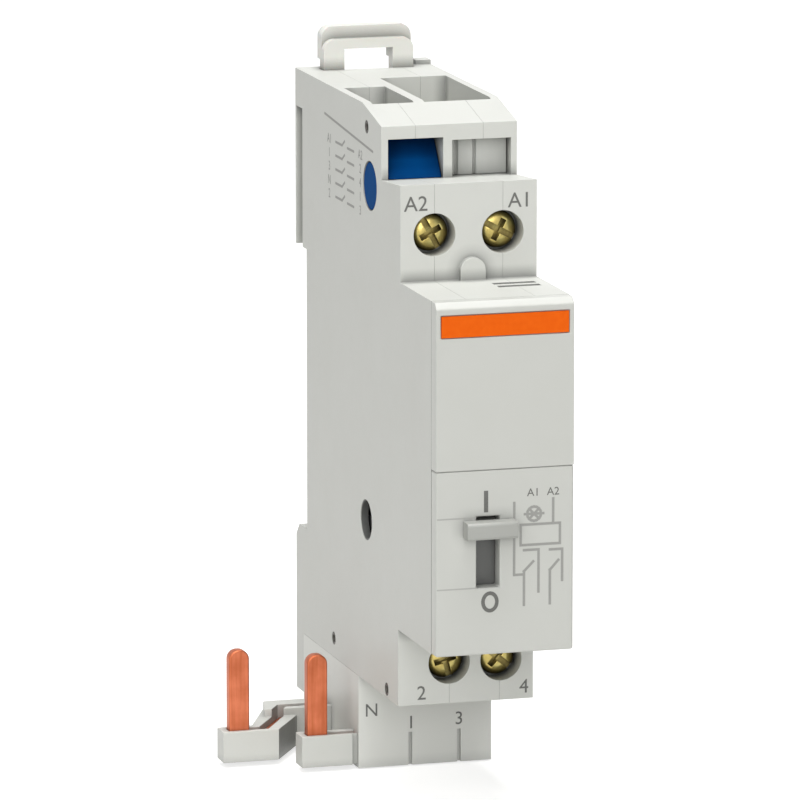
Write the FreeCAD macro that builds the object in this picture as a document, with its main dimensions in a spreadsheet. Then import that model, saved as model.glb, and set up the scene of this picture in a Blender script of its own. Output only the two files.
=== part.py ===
import FreeCAD, Part
import os
import re

import Sketcher
from FreeCAD import Placement, Rotation, Vector

# Modular impulse relay, one 18 mm module wide, for a 35 mm top-hat rail.
# Frame: the rail seat is the plane y = 0, its axis is z = 0, and x = 0 is mid-width.
# The front of the relay looks along -y and +z is up.

SIZES = {
    # outline of the case, seen from the side
    "case_width": 18,
    "nose_half": 22.5,
    "nose_front": 60.2,
    "cover_depth": 2.2,
    "nose_chamfer": 0.8,
    "upper_face": 44.3,
    "lower_face": 43.3,
    "window_face": 35.7,
    "upper_block": 12.4,
    "window_rise": 6.2,
    "ledge_fall": 0.7,
    "top_rise": 8.1,
    "slope_start": 27,
    "back_depth": 5,
    "notch_top": 19.6,
    "notch_bottom": 18,
    "hook_chamfer": 1.5,
    "low_block": 10,
    "leg_height": 8,
    "leg_front": 1.5,
    # walls and splits
    "wall": 1.4,
    "side_wall": 1.1,
    "seat_half": 16,
    "seat_relief": 0.3,
    "side_recess": 1.4,
    "side_recess_width": 2.9,
    "side_recess_lip": 0.5,
    "side_recess_drop": 5,
    # terminals
    "upper_screw_drop": 6.5,
    "low_screw_left": 2.2,
    "low_right_margin": 4.3,
    "low_screw_rise": 5.3,
    "head_hole": 5.5,
    "head_width": 4.8,
    "head_sunk": 1.8,
    "head_height": 1.6,
    "shank_width": 3.5,
    "shank_gap": 0.3,
    "upper_neck": 6.2,
    "low_neck": 1.2,
    "cage_width": 5.8,
    "cage_height": 5.8,
    "cage_length": 10,
    "cage_nut": 1.6,
    "cage_wall": 0.8,
    "cage_travel": 2.5,
    "room_gap": 0.25,
    "bar_thick": 1,
    "bar_width": 3.6,
    "wire_width": 4.4,
    "wire_depth": 4.6,
    # entries and windows at the top
    "left_pocket_back": 14.6,
    "right_pocket_left": 1,
    "right_pocket_back": 7.5,
    "pocket_lip": 0.3,
    "pocket_drop": 1.3,
    "window_depth": 5.2,
    "blue_margin": 0.9,
    "blue_right": 0.8,
    "blue_rise": 4.5,
    "blue_lean": 4.2,
    "grey_left": 0.4,
    "grey_margin": 0.8,
    "grey_rise": 4.1,
    "grey_sunk": 1.6,
    "grey_groove": 0.35,
    "grey_rib": 1.4,
    "grey_pitch": 2.4,
    "boss_width": 6.4,
    "boss_back": 30.4,
    "boss_drop": 2.2,
    "fit_gap": 0.1,
    # small features of the case
    "arch_radius": 1.65,
    "arch_middle": 0.35,
    "arch_rise": 2.9,
    "arch_depth": 0.9,
    "vent_left": 2,
    "vent_start": 3.3,
    "vent_pitch": 2.1,
    "vent_width": 1.2,
    "lug_size": 2.1,
    "lug_rise": 0.6,
    "coupling_width": 5.3,
    "coupling_back": 28.6,
    "coupling_down": 11.1,
    "rivet_width": 1.7,
    "rivet_bore": 0.9,
    "rivet_top_back": 28.95,
    "rivet_top_drop": 2.9,
    "rivet_low_inset": 5.3,
    "rivet_low_rise": 1.1,
    "rivet_mid_back": 13.2,
    "rivet_mid_rise": 2.5,
    # front cover, marking strip and lever
    "cover_seam": 1.1,
    "strip_bottom": 18,
    "strip_top": 20.9,
    "strip_margin": 0.6,
    "strip_thick": 0.3,
    "lever_middle": 2.2,
    "slot_width": 3,
    "slot_top": 4.8,
    "slot_bottom": 13.9,
    "handle_width": 6.6,
    "handle_top": 5.2,
    "handle_height": 2.2,
    "handle_reach": 2.1,
    "stem_height": 1.8,
    "stem_gap": 0.2,
    "lever_gap": 0.15,
    "lever_travel": 6,
    "plate_thick": 1,
    "plate_overlap": 0.5,
    "plate_half": 3,
    "handle_corner": 0.44,
    # rocker, contact carrier and its bridges
    "pin_width": 2,
    "pin_gap": 0.08,
    "lever_pin_back": 6.2,
    "carrier_pin_reach": 5.7,
    "pivot_drop": 2,
    "arm_half": 1.7,
    "hub_width": 5,
    "rocker_thick": 2,
    "rocker_left": 3.3,
    "post_width": 4.4,
    "slide_depth": 6,
    "slide_roof": 1.6,
    "overtravel": 0.8,
    "sill_thick": 1.1,
    "carrier_side": 0.4,
    "carrier_post": 1,
    "bridge_thick": 0.8,
    "bridge_width": 3,
    "tip_back": 18.4,
    "tip_width": 2.6,
    "tip_thick": 0.8,
    "contact_spring_length": 5.1,
    "contact_coil": 2.4,
    "contact_wire": 0.35,
    # coil and magnet
    "coil_depth": 16,
    "coil_gap": 0.4,
    "coil_lift": 2.4,
    "flange_thick": 1,
    "tube_width": 7,
    "winding_sunk": 0.5,
    "core_width": 5,
    "core_lift": 1.1,
    "yoke_half": 6,
    "yoke_thick": 1.5,
    "yoke_back": 5.5,
    "yoke_front": 24,
    "yoke_lift": 0.2,
    "cheek_thick": 0.8,
    "cheek_half": 1.3,
    "cheek_rise": 1,
    "hinge_pin": 1.2,
    "armature_half": 5,
    "armature_thick": 1.4,
    "armature_rise": 4,
    "armature_front": 20.5,
    "armature_tail": 2.3,
    "drive_left": 5.5,
    "drive_width": 2,
    "drive_thick": 1.4,
    "drive_stop": 2.8,
    "return_coil": 2.2,
    "return_wire": 0.4,
    "return_depth": 3.6,
    "return_top": 7,
    "lead_width": 0.8,
    "lead_gap": 0.2,
    # clip for the rail
    "clip_half": 6.1,
    "clip_front": 1.3,
    "clip_thick": 2,
    "clip_lip": 1.2,
    "clip_end": 16.4,
    "clip_rise": 5.6,
    "clip_front_rise": 4,
    "clip_eye_half": 3.3,
    "clip_eye_drop": 1,
    "clip_eye_rise": 2.7,
    "clip_corner": 1.5,
    "clip_travel": 3,
    "channel_gap": 0.1,
    "mouth_step": 0.5,
    "rail_hook_end": 16.4,
    "rail_hook_thick": 2.4,
    "rail_hook_lead": 0.6,
    "clip_coil": 2.6,
    "clip_wire": 0.4,
    "clip_turn_gap": 0.48,
    "clip_window_half": 1.9,
    "clip_window_low": 24,
    "clip_peg_low": 33,
    "clip_peg_height": 2,
    "clip_peg_gap": 0.4,
    # plug-in prongs and their block
    "comb_front": 25,
    "comb_height": 12.3,
    "comb_cover": 1,
    "groove_width": 0.5,
    "groove_depth": 0.5,
    "groove_height": 4.4,
    "groove_left": 2,
    "groove_right": 4.6,
    "carrier_height": 4.6,
    "carrier_sole": 0.5,
    "arm_height": 5.6,
    "carrier_depth": 3.2,
    "near_reach": 7.6,
    "near_groove": 0.8,
    "far_reach": 16.7,
    "far_start": 9.2,
    "far_back": 5.5,
    "far_jog": 4.4,
    "slant_depth": 7.2,
    "link_depth": 4.8,
    "link_wall": 2.8,
    "prong_width": 2.7,
    "prong_thick": 1.7,
    "prong_flat": 0.13,
    "prong_set": 0.8,
    "near_prong_out": 5.3,
    "far_prong_out": 14.3,
    "prong_length": 15.2,
    "rail_height": 2.7,
    "rail_thick": 1.2,
    "rail_floor": 1.2,
    "riser_width": 3,
    "near_riser": 17.4,
    "far_riser": 11.2,
}

# Places worked out from the sizes above, in the same words.
PLACES = {
    # case
    "left": "-case_width / 2",
    "right": "case_width / 2",
    "inner_left": "left + side_wall",
    "inner_right": "right - side_wall",
    "seam": "case_width / 4",
    "low_seam": "low_screw_left",
    "cover_back": "-(nose_front - cover_depth)",
    "room_top": "nose_half - wall",
    "shoulder_top": "nose_half + upper_block",
    "window_top": "shoulder_top + window_rise",
    "window_floor": "shoulder_top - ledge_fall",
    "case_top": "shoulder_top + top_rise",
    "terminal_bottom": "nose_half + low_block",
    "leg_bottom": "terminal_bottom + leg_height",
    "side_recess_top": "case_top - side_recess_drop",
    "side_recess_rear": "back_depth - side_recess_lip",
    "vent_right": "case_width / 2 - wall",
    "vent_depth": "upper_face + vent_start",
    "rivet_top_up": "case_top - rivet_top_drop",
    "rivet_low_back": "lower_face - rivet_low_inset",
    "rivet_low_down": "terminal_bottom - rivet_low_rise",
    "rivet_mid_down": "terminal_bottom - rivet_mid_rise",
    # terminals
    "screw_offset": "case_width / 4",
    "upper_screw_up": "shoulder_top - upper_screw_drop",
    "low_left_screw": "-low_screw_left",
    "low_screw_right": "case_width / 2 - low_right_margin",
    "low_screw_down": "terminal_bottom - low_screw_rise",
    "cage_room": "cage_width / 2 + room_gap",
    "cage_room_up": "cage_height / 2 + room_gap",
    "cage_rear": "bar_thick + wire_depth + cage_wall",
    "cage_front": "cage_length - cage_rear",
    "head_stack": "head_sunk + head_height + fit_gap + cage_travel + cage_front",
    "upper_bar_depth": "upper_face - head_stack - upper_neck",
    "low_bar_depth": "lower_face - head_stack - low_neck",
    # entries and windows
    "left_pocket_left": "case_width / 2 - side_wall",
    "left_pocket_right": "screw_offset - wire_width / 2 + fit_gap",
    "right_pocket_right": "case_width / 2 - side_wall",
    "pocket_front": "upper_bar_depth - bar_thick + pocket_lip",
    "pocket_floor": "shoulder_top - pocket_drop",
    "blue_left": "case_width / 2 - blue_margin",
    "blue_top": "shoulder_top + blue_rise",
    "grey_right": "case_width / 2 - grey_margin",
    "grey_top": "shoulder_top + grey_rise",
    "boss_up": "shoulder_top - boss_drop",
    # contacts, from the floor of the mechanism room upward
    "foot_top": "room_top - bar_thick",
    "tip_meet": "foot_top - tip_thick",
    "bridge_low": "tip_meet - tip_thick",
    "bridge_top": "bridge_low - bridge_thick",
    "tip_front": "low_bar_depth - bar_thick - tip_width / 2",
    "bridge_front": "tip_front + tip_width / 2 + fit_gap",
    "bridge_back": "tip_back - tip_width / 2 - fit_gap",
    "carrier_front": "(tip_front + tip_back + slide_depth) / 2",
    "carrier_back": "carrier_front - slide_depth",
    "carrier_sill": "bridge_low + overtravel + sill_thick",
    "spring_room": "bridge_top - contact_spring_length",
    "carrier_top": "spring_room - slide_roof",
    # rocker between the lever's pin and the carrier's pin, twice as long in front
    "carrier_pin_depth": "carrier_front + carrier_pin_reach",
    "lever_pin_depth": "nose_front - lever_pin_back",
    "rear_arm": "(lever_pin_depth - carrier_pin_depth) / 3",
    "front_arm": "2 * rear_arm",
    "pivot_depth": "carrier_pin_depth + rear_arm",
    "pivot_down": "carrier_top - pivot_drop",
    "lever_pin_down": "pivot_down - lever_travel / 2",
    "carrier_travel": "lever_travel / 2",
    "carrier_pin_down": "pivot_down + carrier_travel / 2",
    "rocker_right": "rocker_thick - rocker_left",
    "arm_right": "rocker_right + fit_gap + rocker_thick",
    "plate_front": "cover_back + lever_gap",
    "plate_back": "plate_front + plate_thick",
    # coil and magnet
    "armature_top": "pivot_down - armature_rise",
    "yoke_end": "armature_top - yoke_lift",
    "core_end": "armature_top - core_lift",
    "coil_low": "armature_top - coil_lift",
    "yoke_top": "room_top - fit_gap",
    "coil_top": "yoke_top - yoke_thick",
    "flange_width": "case_width - 2 * (side_wall + coil_gap)",
    "winding_width": "flange_width - 2 * winding_sunk",
    "lead_up": "coil_top - flange_thick - lead_width / 2 - lead_gap",
    "hinge_depth": "yoke_back + yoke_thick / 2",
    "hinge_down": "armature_top + armature_thick / 2",
    "drive_front": "pivot_depth - drive_stop",
    # clip
    "clip_back": "clip_front + clip_thick",
    "channel_half": "clip_half + channel_gap",
    "channel_mouth": "seam + mouth_step",
    "clip_top": "case_top + clip_rise",
    "clip_front_top": "case_top + clip_front_rise",
    "clip_eye_low": "case_top - clip_eye_drop",
    "clip_eye_top": "case_top + clip_eye_rise",
    # prongs and their carriers
    "comb_bottom": "terminal_bottom + comb_height",
    "groove_top": "comb_bottom - groove_height",
    "near_left": "case_width / 2 + near_reach",
    "far_left": "case_width / 2 + far_reach",
    "far_right": "case_width / 2 + far_start",
    "near_prong": "case_width / 2 + near_prong_out",
    "far_prong": "case_width / 2 + far_prong_out",
    "carrier_bottom": "comb_bottom - carrier_sole",
    "prong_tip": "comb_bottom - prong_length",
    "prong_corner": "prong_width / 2 - prong_flat",
    "near_back": "comb_front - carrier_depth",
    "far_rear": "comb_front - far_back - carrier_depth",
    "link_front": "comb_front - far_back - slant_depth",
    "link_back": "link_front - link_depth",
    "rail_low": "comb_bottom - rail_floor",
    "rail_top": "rail_low - rail_height",
    "near_rail": "comb_front - prong_set",
    "far_rail": "comb_front - far_back - prong_set",
}

doc = FreeCAD.newDocument("ImpulseRelay")
sheet = doc.addObject("Spreadsheet::Sheet", "Sizes")
for row, (word, number) in enumerate(SIZES.items(), start=1):
    sheet.set("A%d" % row, word)
    sheet.set("B%d" % row, str(number))
    sheet.setAlias("B%d" % row, word)
doc.recompute()

PIECES = []


def formula(text):
    """Turn words such as "wall / 2" into an expression on the sheet."""
    def spell(match):
        word = match.group(0)
        if word in PLACES:
            return "(" + formula(PLACES[word]) + ")"
        return "Sizes." + word if word in SIZES else word
    return re.sub(r"[a-z_][a-z_0-9]*", spell, text)


def value(text):
    """The number that a formula gives now."""
    return float(sheet.evalExpression(formula(text)))


def bind(thing, name, text):
    thing.setExpression(name, formula(text))


def piece(label, several=False):
    """A new sub-part; its label names its file."""
    body = doc.addObject("PartDesign::Body", label)
    body.Label = label
    body.AllowCompound = several
    body.Placement = Placement(Vector(0, 0, 0), Rotation())
    PIECES.append(body)
    return body


PLANES = {"x": "YZ_Plane", "y": "XZ_Plane", "z": "XY_Plane"}


def sketch(body, axis, height):
    """A sketch square to an axis; its u, v are (y, z), (x, z) or (x, y)."""
    drawing = body.newObject("Sketcher::SketchObject", body.Name + "_sketch")
    plane = [o for o in body.Origin.OriginFeatures if o.Role == PLANES[axis]][0]
    drawing.AttachmentSupport = [(plane, "")]
    drawing.MapMode = "FlatFace"
    sign = "-" if axis == "y" else ""
    bind(drawing, "AttachmentOffset.Base.z", "%s(%s)" % (sign, height))
    return drawing


def hold(drawing, kind, *where_and_text):
    """Add one dimension and bind it to its formula."""
    *where, text = where_and_text
    index = drawing.addConstraint(Sketcher.Constraint(kind, *where, value(text)))
    bind(drawing, "Constraints[%d]" % index, text)


def draw_outline(drawing, points):
    first = drawing.GeometryCount
    count = len(points)
    spots = [Vector(value(u), value(v), 0) for u, v in points]
    for i in range(count):
        drawing.addGeometry(Part.LineSegment(spots[i], spots[(i + 1) % count]), False)
    for i in range(count):
        following = first + (i + 1) % count
        drawing.addConstraint(Sketcher.Constraint("Coincident", first + i, 2, following, 1))
    for i, (u, v) in enumerate(points):
        hold(drawing, "DistanceX", -1, 1, first + i, 1, u)
        hold(drawing, "DistanceY", -1, 1, first + i, 1, v)


def draw_circle(drawing, u, v, width):
    centre = Vector(value(u), value(v), 0)
    index = drawing.GeometryCount
    drawing.addGeometry(Part.Circle(centre, Vector(0, 0, 1), value(width) / 2), False)
    hold(drawing, "DistanceX", -1, 1, index, 3, u)
    hold(drawing, "DistanceY", -1, 1, index, 3, v)
    hold(drawing, "Diameter", index, width)


def extrude(body, axis, low, high, drawing, cut=False):
    """Add (or cut) the sketch from low to high along its axis."""
    kind = "PartDesign::Pocket" if cut else "PartDesign::Pad"
    feature = body.newObject(kind, body.Name + ("_cut" if cut else "_pad"))
    feature.Profile = (drawing, [""])
    feature.Reversed = cut
    bind(feature, "Length", "(%s) - (%s)" % (high, low))
    return feature


def prism(body, axis, low, high, points, cut=False):
    drawing = sketch(body, axis, high if axis == "y" else low)
    draw_outline(drawing, points)
    return extrude(body, axis, low, high, drawing, cut)


def disc(body, axis, low, high, circles, cut=False):
    drawing = sketch(body, axis, high if axis == "y" else low)
    for u, v, width in circles:
        draw_circle(drawing, u, v, width)
    return extrude(body, axis, low, high, drawing, cut)


def block(body, x, y, z, cut=False):
    """A box from pairs of formulas."""
    corners = [(x[0], y[0]), (x[1], y[0]), (x[1], y[1]), (x[0], y[1])]
    return prism(body, "z", z[0], z[1], corners, cut)


def around(middle, half):
    return ("%s - (%s)" % (middle, half), "%s + (%s)" % (middle, half))


def soften(body, kind, size, chosen):
    """Fillet or chamfer the edges of the piece so far that pass the test."""
    doc.recompute()
    tip = body.Tip
    names = []
    for index, edge in enumerate(tip.Shape.Edges, start=1):
        if chosen(edge):
            names.append("Edge%d" % index)
    feature = body.newObject("PartDesign::" + kind, body.Name + "_" + kind.lower())
    feature.Base = (tip, names)
    bind(feature, "Radius" if kind == "Fillet" else "Size", size)
    return feature


def along(edge, axis):
    """Whether an edge is a straight line along an axis."""
    box = edge.BoundBox
    spans = {"x": box.XLength, "y": box.YLength, "z": box.ZLength}
    others = [spans[a] for a in "xyz" if a != axis]
    return spans[axis] > 1e-4 and max(others) < 1e-4


# ---------------------------------------------------------------- case shells

CASE_OUTLINE = [
    ("back_depth", "case_top"),
    ("-slope_start", "case_top"),
    ("-window_face", "window_top"),
    ("-window_face", "window_floor"),
    ("-upper_face", "shoulder_top"),
    ("-upper_face", "nose_half"),
    ("cover_back", "nose_half"),
    ("cover_back", "-nose_half"),
    ("-lower_face", "-nose_half"),
    ("-lower_face", "-terminal_bottom"),
    ("leg_front", "-terminal_bottom"),
    ("leg_front", "-leg_bottom"),
    ("back_depth", "-leg_bottom"),
    ("back_depth", "-(notch_bottom + hook_chamfer)"),
    ("back_depth - hook_chamfer", "-notch_bottom"),
    ("-seat_relief", "-notch_bottom"),
    ("-seat_relief", "notch_top"),
    ("back_depth", "notch_top"),
]

# Terminals: name, screw x, screw z, face depth, bar depth.
TERMINALS = [
    ("a2", "-screw_offset", "upper_screw_up", "upper_face", "upper_bar_depth"),
    ("a1", "screw_offset", "upper_screw_up", "upper_face", "upper_bar_depth"),
    ("2", "low_left_screw", "-low_screw_down", "lower_face", "low_bar_depth"),
    ("4", "low_screw_right", "-low_screw_down", "lower_face", "low_bar_depth"),
]


def cut_terminal(shell, x, z, face, bar, upward):
    """Screw hole, cage room and wire entry of one terminal."""
    seat = "-(%s - head_sunk - head_height)" % face
    room_front = "-%s - cage_front - cage_travel - fit_gap" % bar
    room_back = "-%s + cage_rear + room_gap" % bar
    disc(shell, "y", "-" + face, seat, [(x, z, "head_hole")], cut=True)
    disc(shell, "y", seat, room_front, [(x, z, "shank_width + shank_gap")], cut=True)
    block(shell, around(x, "cage_room"), (room_front, room_back), around(z, "cage_room_up"), cut=True)
    if upward:
        low, high = z + " + cage_room_up", "pocket_floor"
    else:
        low, high = "-terminal_bottom", z + " - cage_room_up"
    wire = ("-%s + bar_thick" % bar, "-%s + bar_thick + wire_depth" % bar)
    block(shell, around(x, "wire_width / 2"), wire, (low, high), cut=True)
    bar_room = ("-%s - fit_gap" % bar, "-%s + bar_thick + fit_gap" % bar)
    if upward:
        low, high = "room_top", z + " - cage_room_up"
    else:
        low, high = z + " + cage_room_up", "-room_top"
    block(shell, around(x, "bar_width / 2 + fit_gap"), bar_room, (low, high), cut=True)


RIVETS = [
    ("-rivet_top_back", "rivet_top_up"),
    ("-rivet_low_back", "-rivet_low_down"),
    ("-rivet_mid_back", "-rivet_mid_down"),
]


def cut_shared_rooms(shell):
    """What runs through all three shells: mechanism room, rivets, clip channel, risers."""
    block(shell, ("inner_left", "inner_right"), ("cover_back", "-wall"), ("-room_top", "room_top"), cut=True)
    disc(shell, "x", "left", "right", [(y, z, "rivet_width") for y, z in RIVETS], cut=True)
    mouth = ("clip_front", "back_depth")
    block(shell, ("-channel_mouth", "channel_mouth"), mouth, ("notch_top", "case_top"), cut=True)
    channel = ("clip_front - channel_gap", "clip_back + channel_gap")
    block(shell, ("-channel_half", "channel_half"), channel, ("notch_top", "case_top"), cut=True)


def cut_riser(shell, x, depth):
    """Slot in the case floor for a bar that comes up from the comb block."""
    room = ("-%s - fit_gap" % depth, "-%s + rail_thick + fit_gap" % depth)
    block(shell, around(x, "riser_width / 2 + fit_gap"), room, ("-terminal_bottom", "-room_top"), cut=True)


def cut_pocket(shell, left, right, back):
    block(shell, (left, right), ("-pocket_front", back), ("pocket_floor", "case_top"), cut=True)


def cut_window(shell, left, right, top):
    depth = ("-window_face", "-window_face + window_depth")
    block(shell, (left, right), depth, ("window_floor", top), cut=True)


def cut_vents(shell):
    for number in range(2):
        front = "-vent_depth - %d * vent_pitch - vent_width" % number
        place = (front, front + " + vent_width")
        block(shell, ("vent_left", "vent_right"), place, ("room_top", "nose_half"), cut=True)


def make_case_left():
    shell = piece("case_left")
    prism(shell, "x", "left", "-seam", CASE_OUTLINE)
    block(shell, ("-seam", "-low_seam"), ("-lower_face", "-wall"), ("-terminal_bottom", "-nose_half"))
    cut_shared_rooms(shell)
    cut_terminal(shell, *TERMINALS[0][1:], upward=True)
    cut_terminal(shell, *TERMINALS[2][1:], upward=False)
    cut_riser(shell, "low_left_screw", "near_riser")
    cut_pocket(shell, "-left_pocket_left", "-left_pocket_right", "-left_pocket_back")
    cut_window(shell, "-blue_left", "-blue_right", "blue_top")
    boss = [("-boss_back", "boss_up", "boss_width")]
    disc(shell, "x", "left", "-blue_left + 2 * fit_gap", boss, cut=True)
    hole = [("-coupling_back", "-coupling_down", "coupling_width")]
    disc(shell, "x", "left", "inner_left", hole, cut=True)
    recess = ("side_recess_rear - side_recess_width", "side_recess_rear")
    block(shell, ("left", "left + side_recess"), recess, ("notch_top", "side_recess_top"), cut=True)
    make_post(shell, "inner_left", "-rocker_left - fit_gap")
    return shell


def make_post(shell, low, high):
    """Post with a hole for the end of the rocker's pivot pin."""
    disc(shell, "x", low, high, [("-pivot_depth", "-pivot_down", "post_width")])
    blind = low + " - side_wall / 2" if low == "inner_left" else low
    end = high + " + side_wall / 2" if high == "inner_right" else high
    disc(shell, "x", blind, end, [("-pivot_depth", "-pivot_down", "pin_width")], cut=True)


def make_case_right():
    shell = piece("case_right")
    prism(shell, "x", "seam", "right", CASE_OUTLINE)
    cut_shared_rooms(shell)
    cut_terminal(shell, *TERMINALS[1][1:], upward=True)
    cut_terminal(shell, *TERMINALS[3][1:], upward=False)
    cut_riser(shell, "low_screw_right", "far_riser")
    cut_pocket(shell, "right_pocket_left", "right_pocket_right", "-right_pocket_back")
    cut_window(shell, "grey_left", "grey_right", "grey_top")
    cut_vents(shell)
    recess = ("side_recess_rear - side_recess_width", "side_recess_rear")
    block(shell, ("right - side_recess", "right"), recess, ("notch_top", "side_recess_top"), cut=True)
    lug = ("back_depth - lug_size", "back_depth")
    block(shell, ("right - lug_size", "right"), lug, ("case_top", "case_top + lug_rise"))
    make_post(shell, "rocker_right + fit_gap", "inner_right")
    return shell


def make_case_middle():
    shell = piece("case_middle")
    prism(shell, "x", "-seam", "seam", CASE_OUTLINE)
    block(shell, ("-seam", "-low_seam"), ("-lower_face", "-wall"), ("-terminal_bottom", "-nose_half"), cut=True)
    block(shell, ("-seam", "seam"), ("-seat_relief", "0"), ("-seat_half", "seat_half"))
    cut_shared_rooms(shell)
    for number, terminal in enumerate(TERMINALS):
        cut_terminal(shell, *terminal[1:], upward=number < 2)
    cut_riser(shell, "low_left_screw", "near_riser")
    cut_riser(shell, "low_screw_right", "far_riser")
    cut_pocket(shell, "-left_pocket_left", "-left_pocket_right", "-left_pocket_back")
    cut_pocket(shell, "-right_pocket_left", "right_pocket_right", "-right_pocket_back")
    cut_window(shell, "-blue_left", "-blue_right", "blue_top")
    cut_window(shell, "grey_left", "grey_right", "grey_top")
    cut_vents(shell)
    hook = [
        ("clip_front", "-notch_bottom - wall"),
        ("clip_front", "-rail_hook_end - rail_hook_lead"),
        ("clip_front + rail_hook_lead", "-rail_hook_end"),
        ("clip_front + rail_hook_thick", "-rail_hook_end"),
        ("clip_front + rail_hook_thick", "-notch_bottom - wall"),
    ]
    prism(shell, "x", "-seam", "seam", hook)
    # small arched tab that stands at the foot of the upper terminal face
    tab = ("-upper_face - arch_depth", "-upper_face")
    arch_centre = "nose_half + arch_rise - arch_radius"
    block(shell, around("arch_middle", "arch_radius"), tab, ("nose_half", arch_centre))
    disc(shell, "y", tab[0], tab[1], [("arch_middle", arch_centre, "2 * arch_radius")])
    # groove and peg for the clip's spring
    groove = ("clip_front + clip_thick / 2 - clip_coil / 2 - fit_gap", "clip_front")
    width = around("0", "clip_coil / 2 + fit_gap")
    block(shell, width, groove, ("clip_window_low", "clip_peg_low"), cut=True)
    peg = ("clip_front - channel_gap", "clip_back")
    peg_up = ("clip_peg_low", "clip_peg_low + clip_peg_height")
    block(shell, around("0", "clip_window_half - clip_peg_gap"), peg, peg_up)
    return shell


def make_rivets():
    rivets = piece("case_rivets", several=True)
    disc(rivets, "x", "left", "right", [(y, z, "rivet_width") for y, z in RIVETS])
    bores = [(y, z, "rivet_bore") for y, z in RIVETS]
    disc(rivets, "x", "left", "left + side_wall", bores, cut=True)
    disc(rivets, "x", "right - side_wall", "right", bores, cut=True)


# ---------------------------------------------------------------- front

def make_front_covers():
    upper = piece("front_cover_upper")
    profile = [
        ("cover_back", "cover_seam"),
        ("cover_back", "nose_half"),
        ("-nose_front + nose_chamfer", "nose_half"),
        ("-nose_front", "nose_half - nose_chamfer"),
        ("-nose_front", "cover_seam"),
    ]
    prism(upper, "x", "left", "right", profile)
    band = ("left + strip_margin", "right - strip_margin")
    front = ("-nose_front", "-nose_front + strip_thick")
    block(upper, band, front, ("strip_bottom", "strip_top"), cut=True)
    strip = piece("marking_strip")
    inset = ("left + strip_margin + fit_gap", "right - strip_margin - fit_gap")
    block(strip, inset, front, ("strip_bottom + fit_gap", "strip_top - fit_gap"))
    lower = piece("front_cover_lower")
    block(lower, ("left", "right"), ("-nose_front", "cover_back"), ("-nose_half", "cover_seam"))
    slot = around("-lever_middle", "slot_width / 2")
    block(lower, slot, ("-nose_front", "cover_back"), ("-slot_bottom", "-slot_top"), cut=True)


def make_lever():
    lever = piece("switch_lever")
    middle = "-lever_middle"
    handle_down = ("-handle_top - handle_height", "-handle_top")
    handle_front = "-nose_front - lever_gap - handle_reach"
    handle = (handle_front, "-nose_front - lever_gap")
    block(lever, around(middle, "handle_width / 2"), handle, handle_down)
    stem_up = around("-handle_top - handle_height / 2", "stem_height / 2")
    stem = ("-nose_front - lever_gap", "plate_front")
    block(lever, around(middle, "slot_width / 2 - stem_gap"), stem, stem_up)
    # root that passes through the plate, then the arm and pin that work the rocker
    root = ("-lever_middle - slot_width / 2 + stem_gap", "arm_right - plate_overlap")
    deep = ("plate_front", "plate_back")
    block(lever, root, deep, stem_up)
    arm = ("rocker_right + fit_gap", "arm_right")
    arm_up = around("-lever_pin_down", "pin_width")
    block(lever, arm, ("plate_back", "-lever_pin_depth + pin_width"), arm_up)
    pin = [("-lever_pin_depth", "-lever_pin_down", "pin_width")]
    disc(lever, "x", "-rocker_left", "arm_right - rocker_thick / 2", pin)
    soften(lever, "Fillet", "handle_corner", lambda e: along(e, "x")
           and e.BoundBox.YMax < value("-nose_front - lever_gap - handle_reach / 2"))
    # dark plate that closes the slot behind the handle
    plate = piece("lever_plate")
    plate_up = ("-slot_bottom - plate_overlap", "-slot_top + lever_travel + plate_overlap")
    block(plate, around(middle, "plate_half"), deep, plate_up)
    block(plate, root, deep, stem_up, cut=True)


# ---------------------------------------------------------------- rocker and contacts

def make_rocker():
    """Drawn level about its pivot, then placed at its rest angle."""
    rocker = piece("rocker")
    drop = "-rocker_left"
    across = ("-rocker_thick", "0")
    front = "front_arm + pin_width"
    rear = "rear_arm + pin_width"
    block(rocker, across, ("-(%s)" % front, rear), ("-arm_half", "arm_half"))
    disc(rocker, "x", across[0], across[1], [("0", "0", "hub_width")])
    disc(rocker, "x", across[0], across[1], [("0", "0", "pin_width + 2 * pin_gap")], cut=True)
    slot_up = around("0", "pin_width / 2 + pin_gap")
    block(rocker, across, ("-(%s)" % front, "-front_arm + pin_width"), slot_up, cut=True)
    block(rocker, across, ("rear_arm - pin_width", rear), slot_up, cut=True)
    tilt = "-atan(lever_travel / 2 / front_arm)"
    rocker.Placement = Placement(Vector(0, 0, 0), Rotation(Vector(1, 0, 0), value(tilt)))
    bind(rocker, "Placement.Base.x", drop + " + rocker_thick")
    bind(rocker, "Placement.Base.y", "-pivot_depth")
    bind(rocker, "Placement.Base.z", "-pivot_down")
    bind(rocker, "Placement.Rotation.Angle", tilt)
    pin = piece("rocker_pin")
    ends = ("inner_left - side_wall / 2", "inner_right + side_wall / 2")
    disc(pin, "x", ends[0], ends[1], [("-pivot_depth", "-pivot_down", "pin_width")])


POLES = [("left", "low_left_screw"), ("right", "low_screw_right")]


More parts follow.
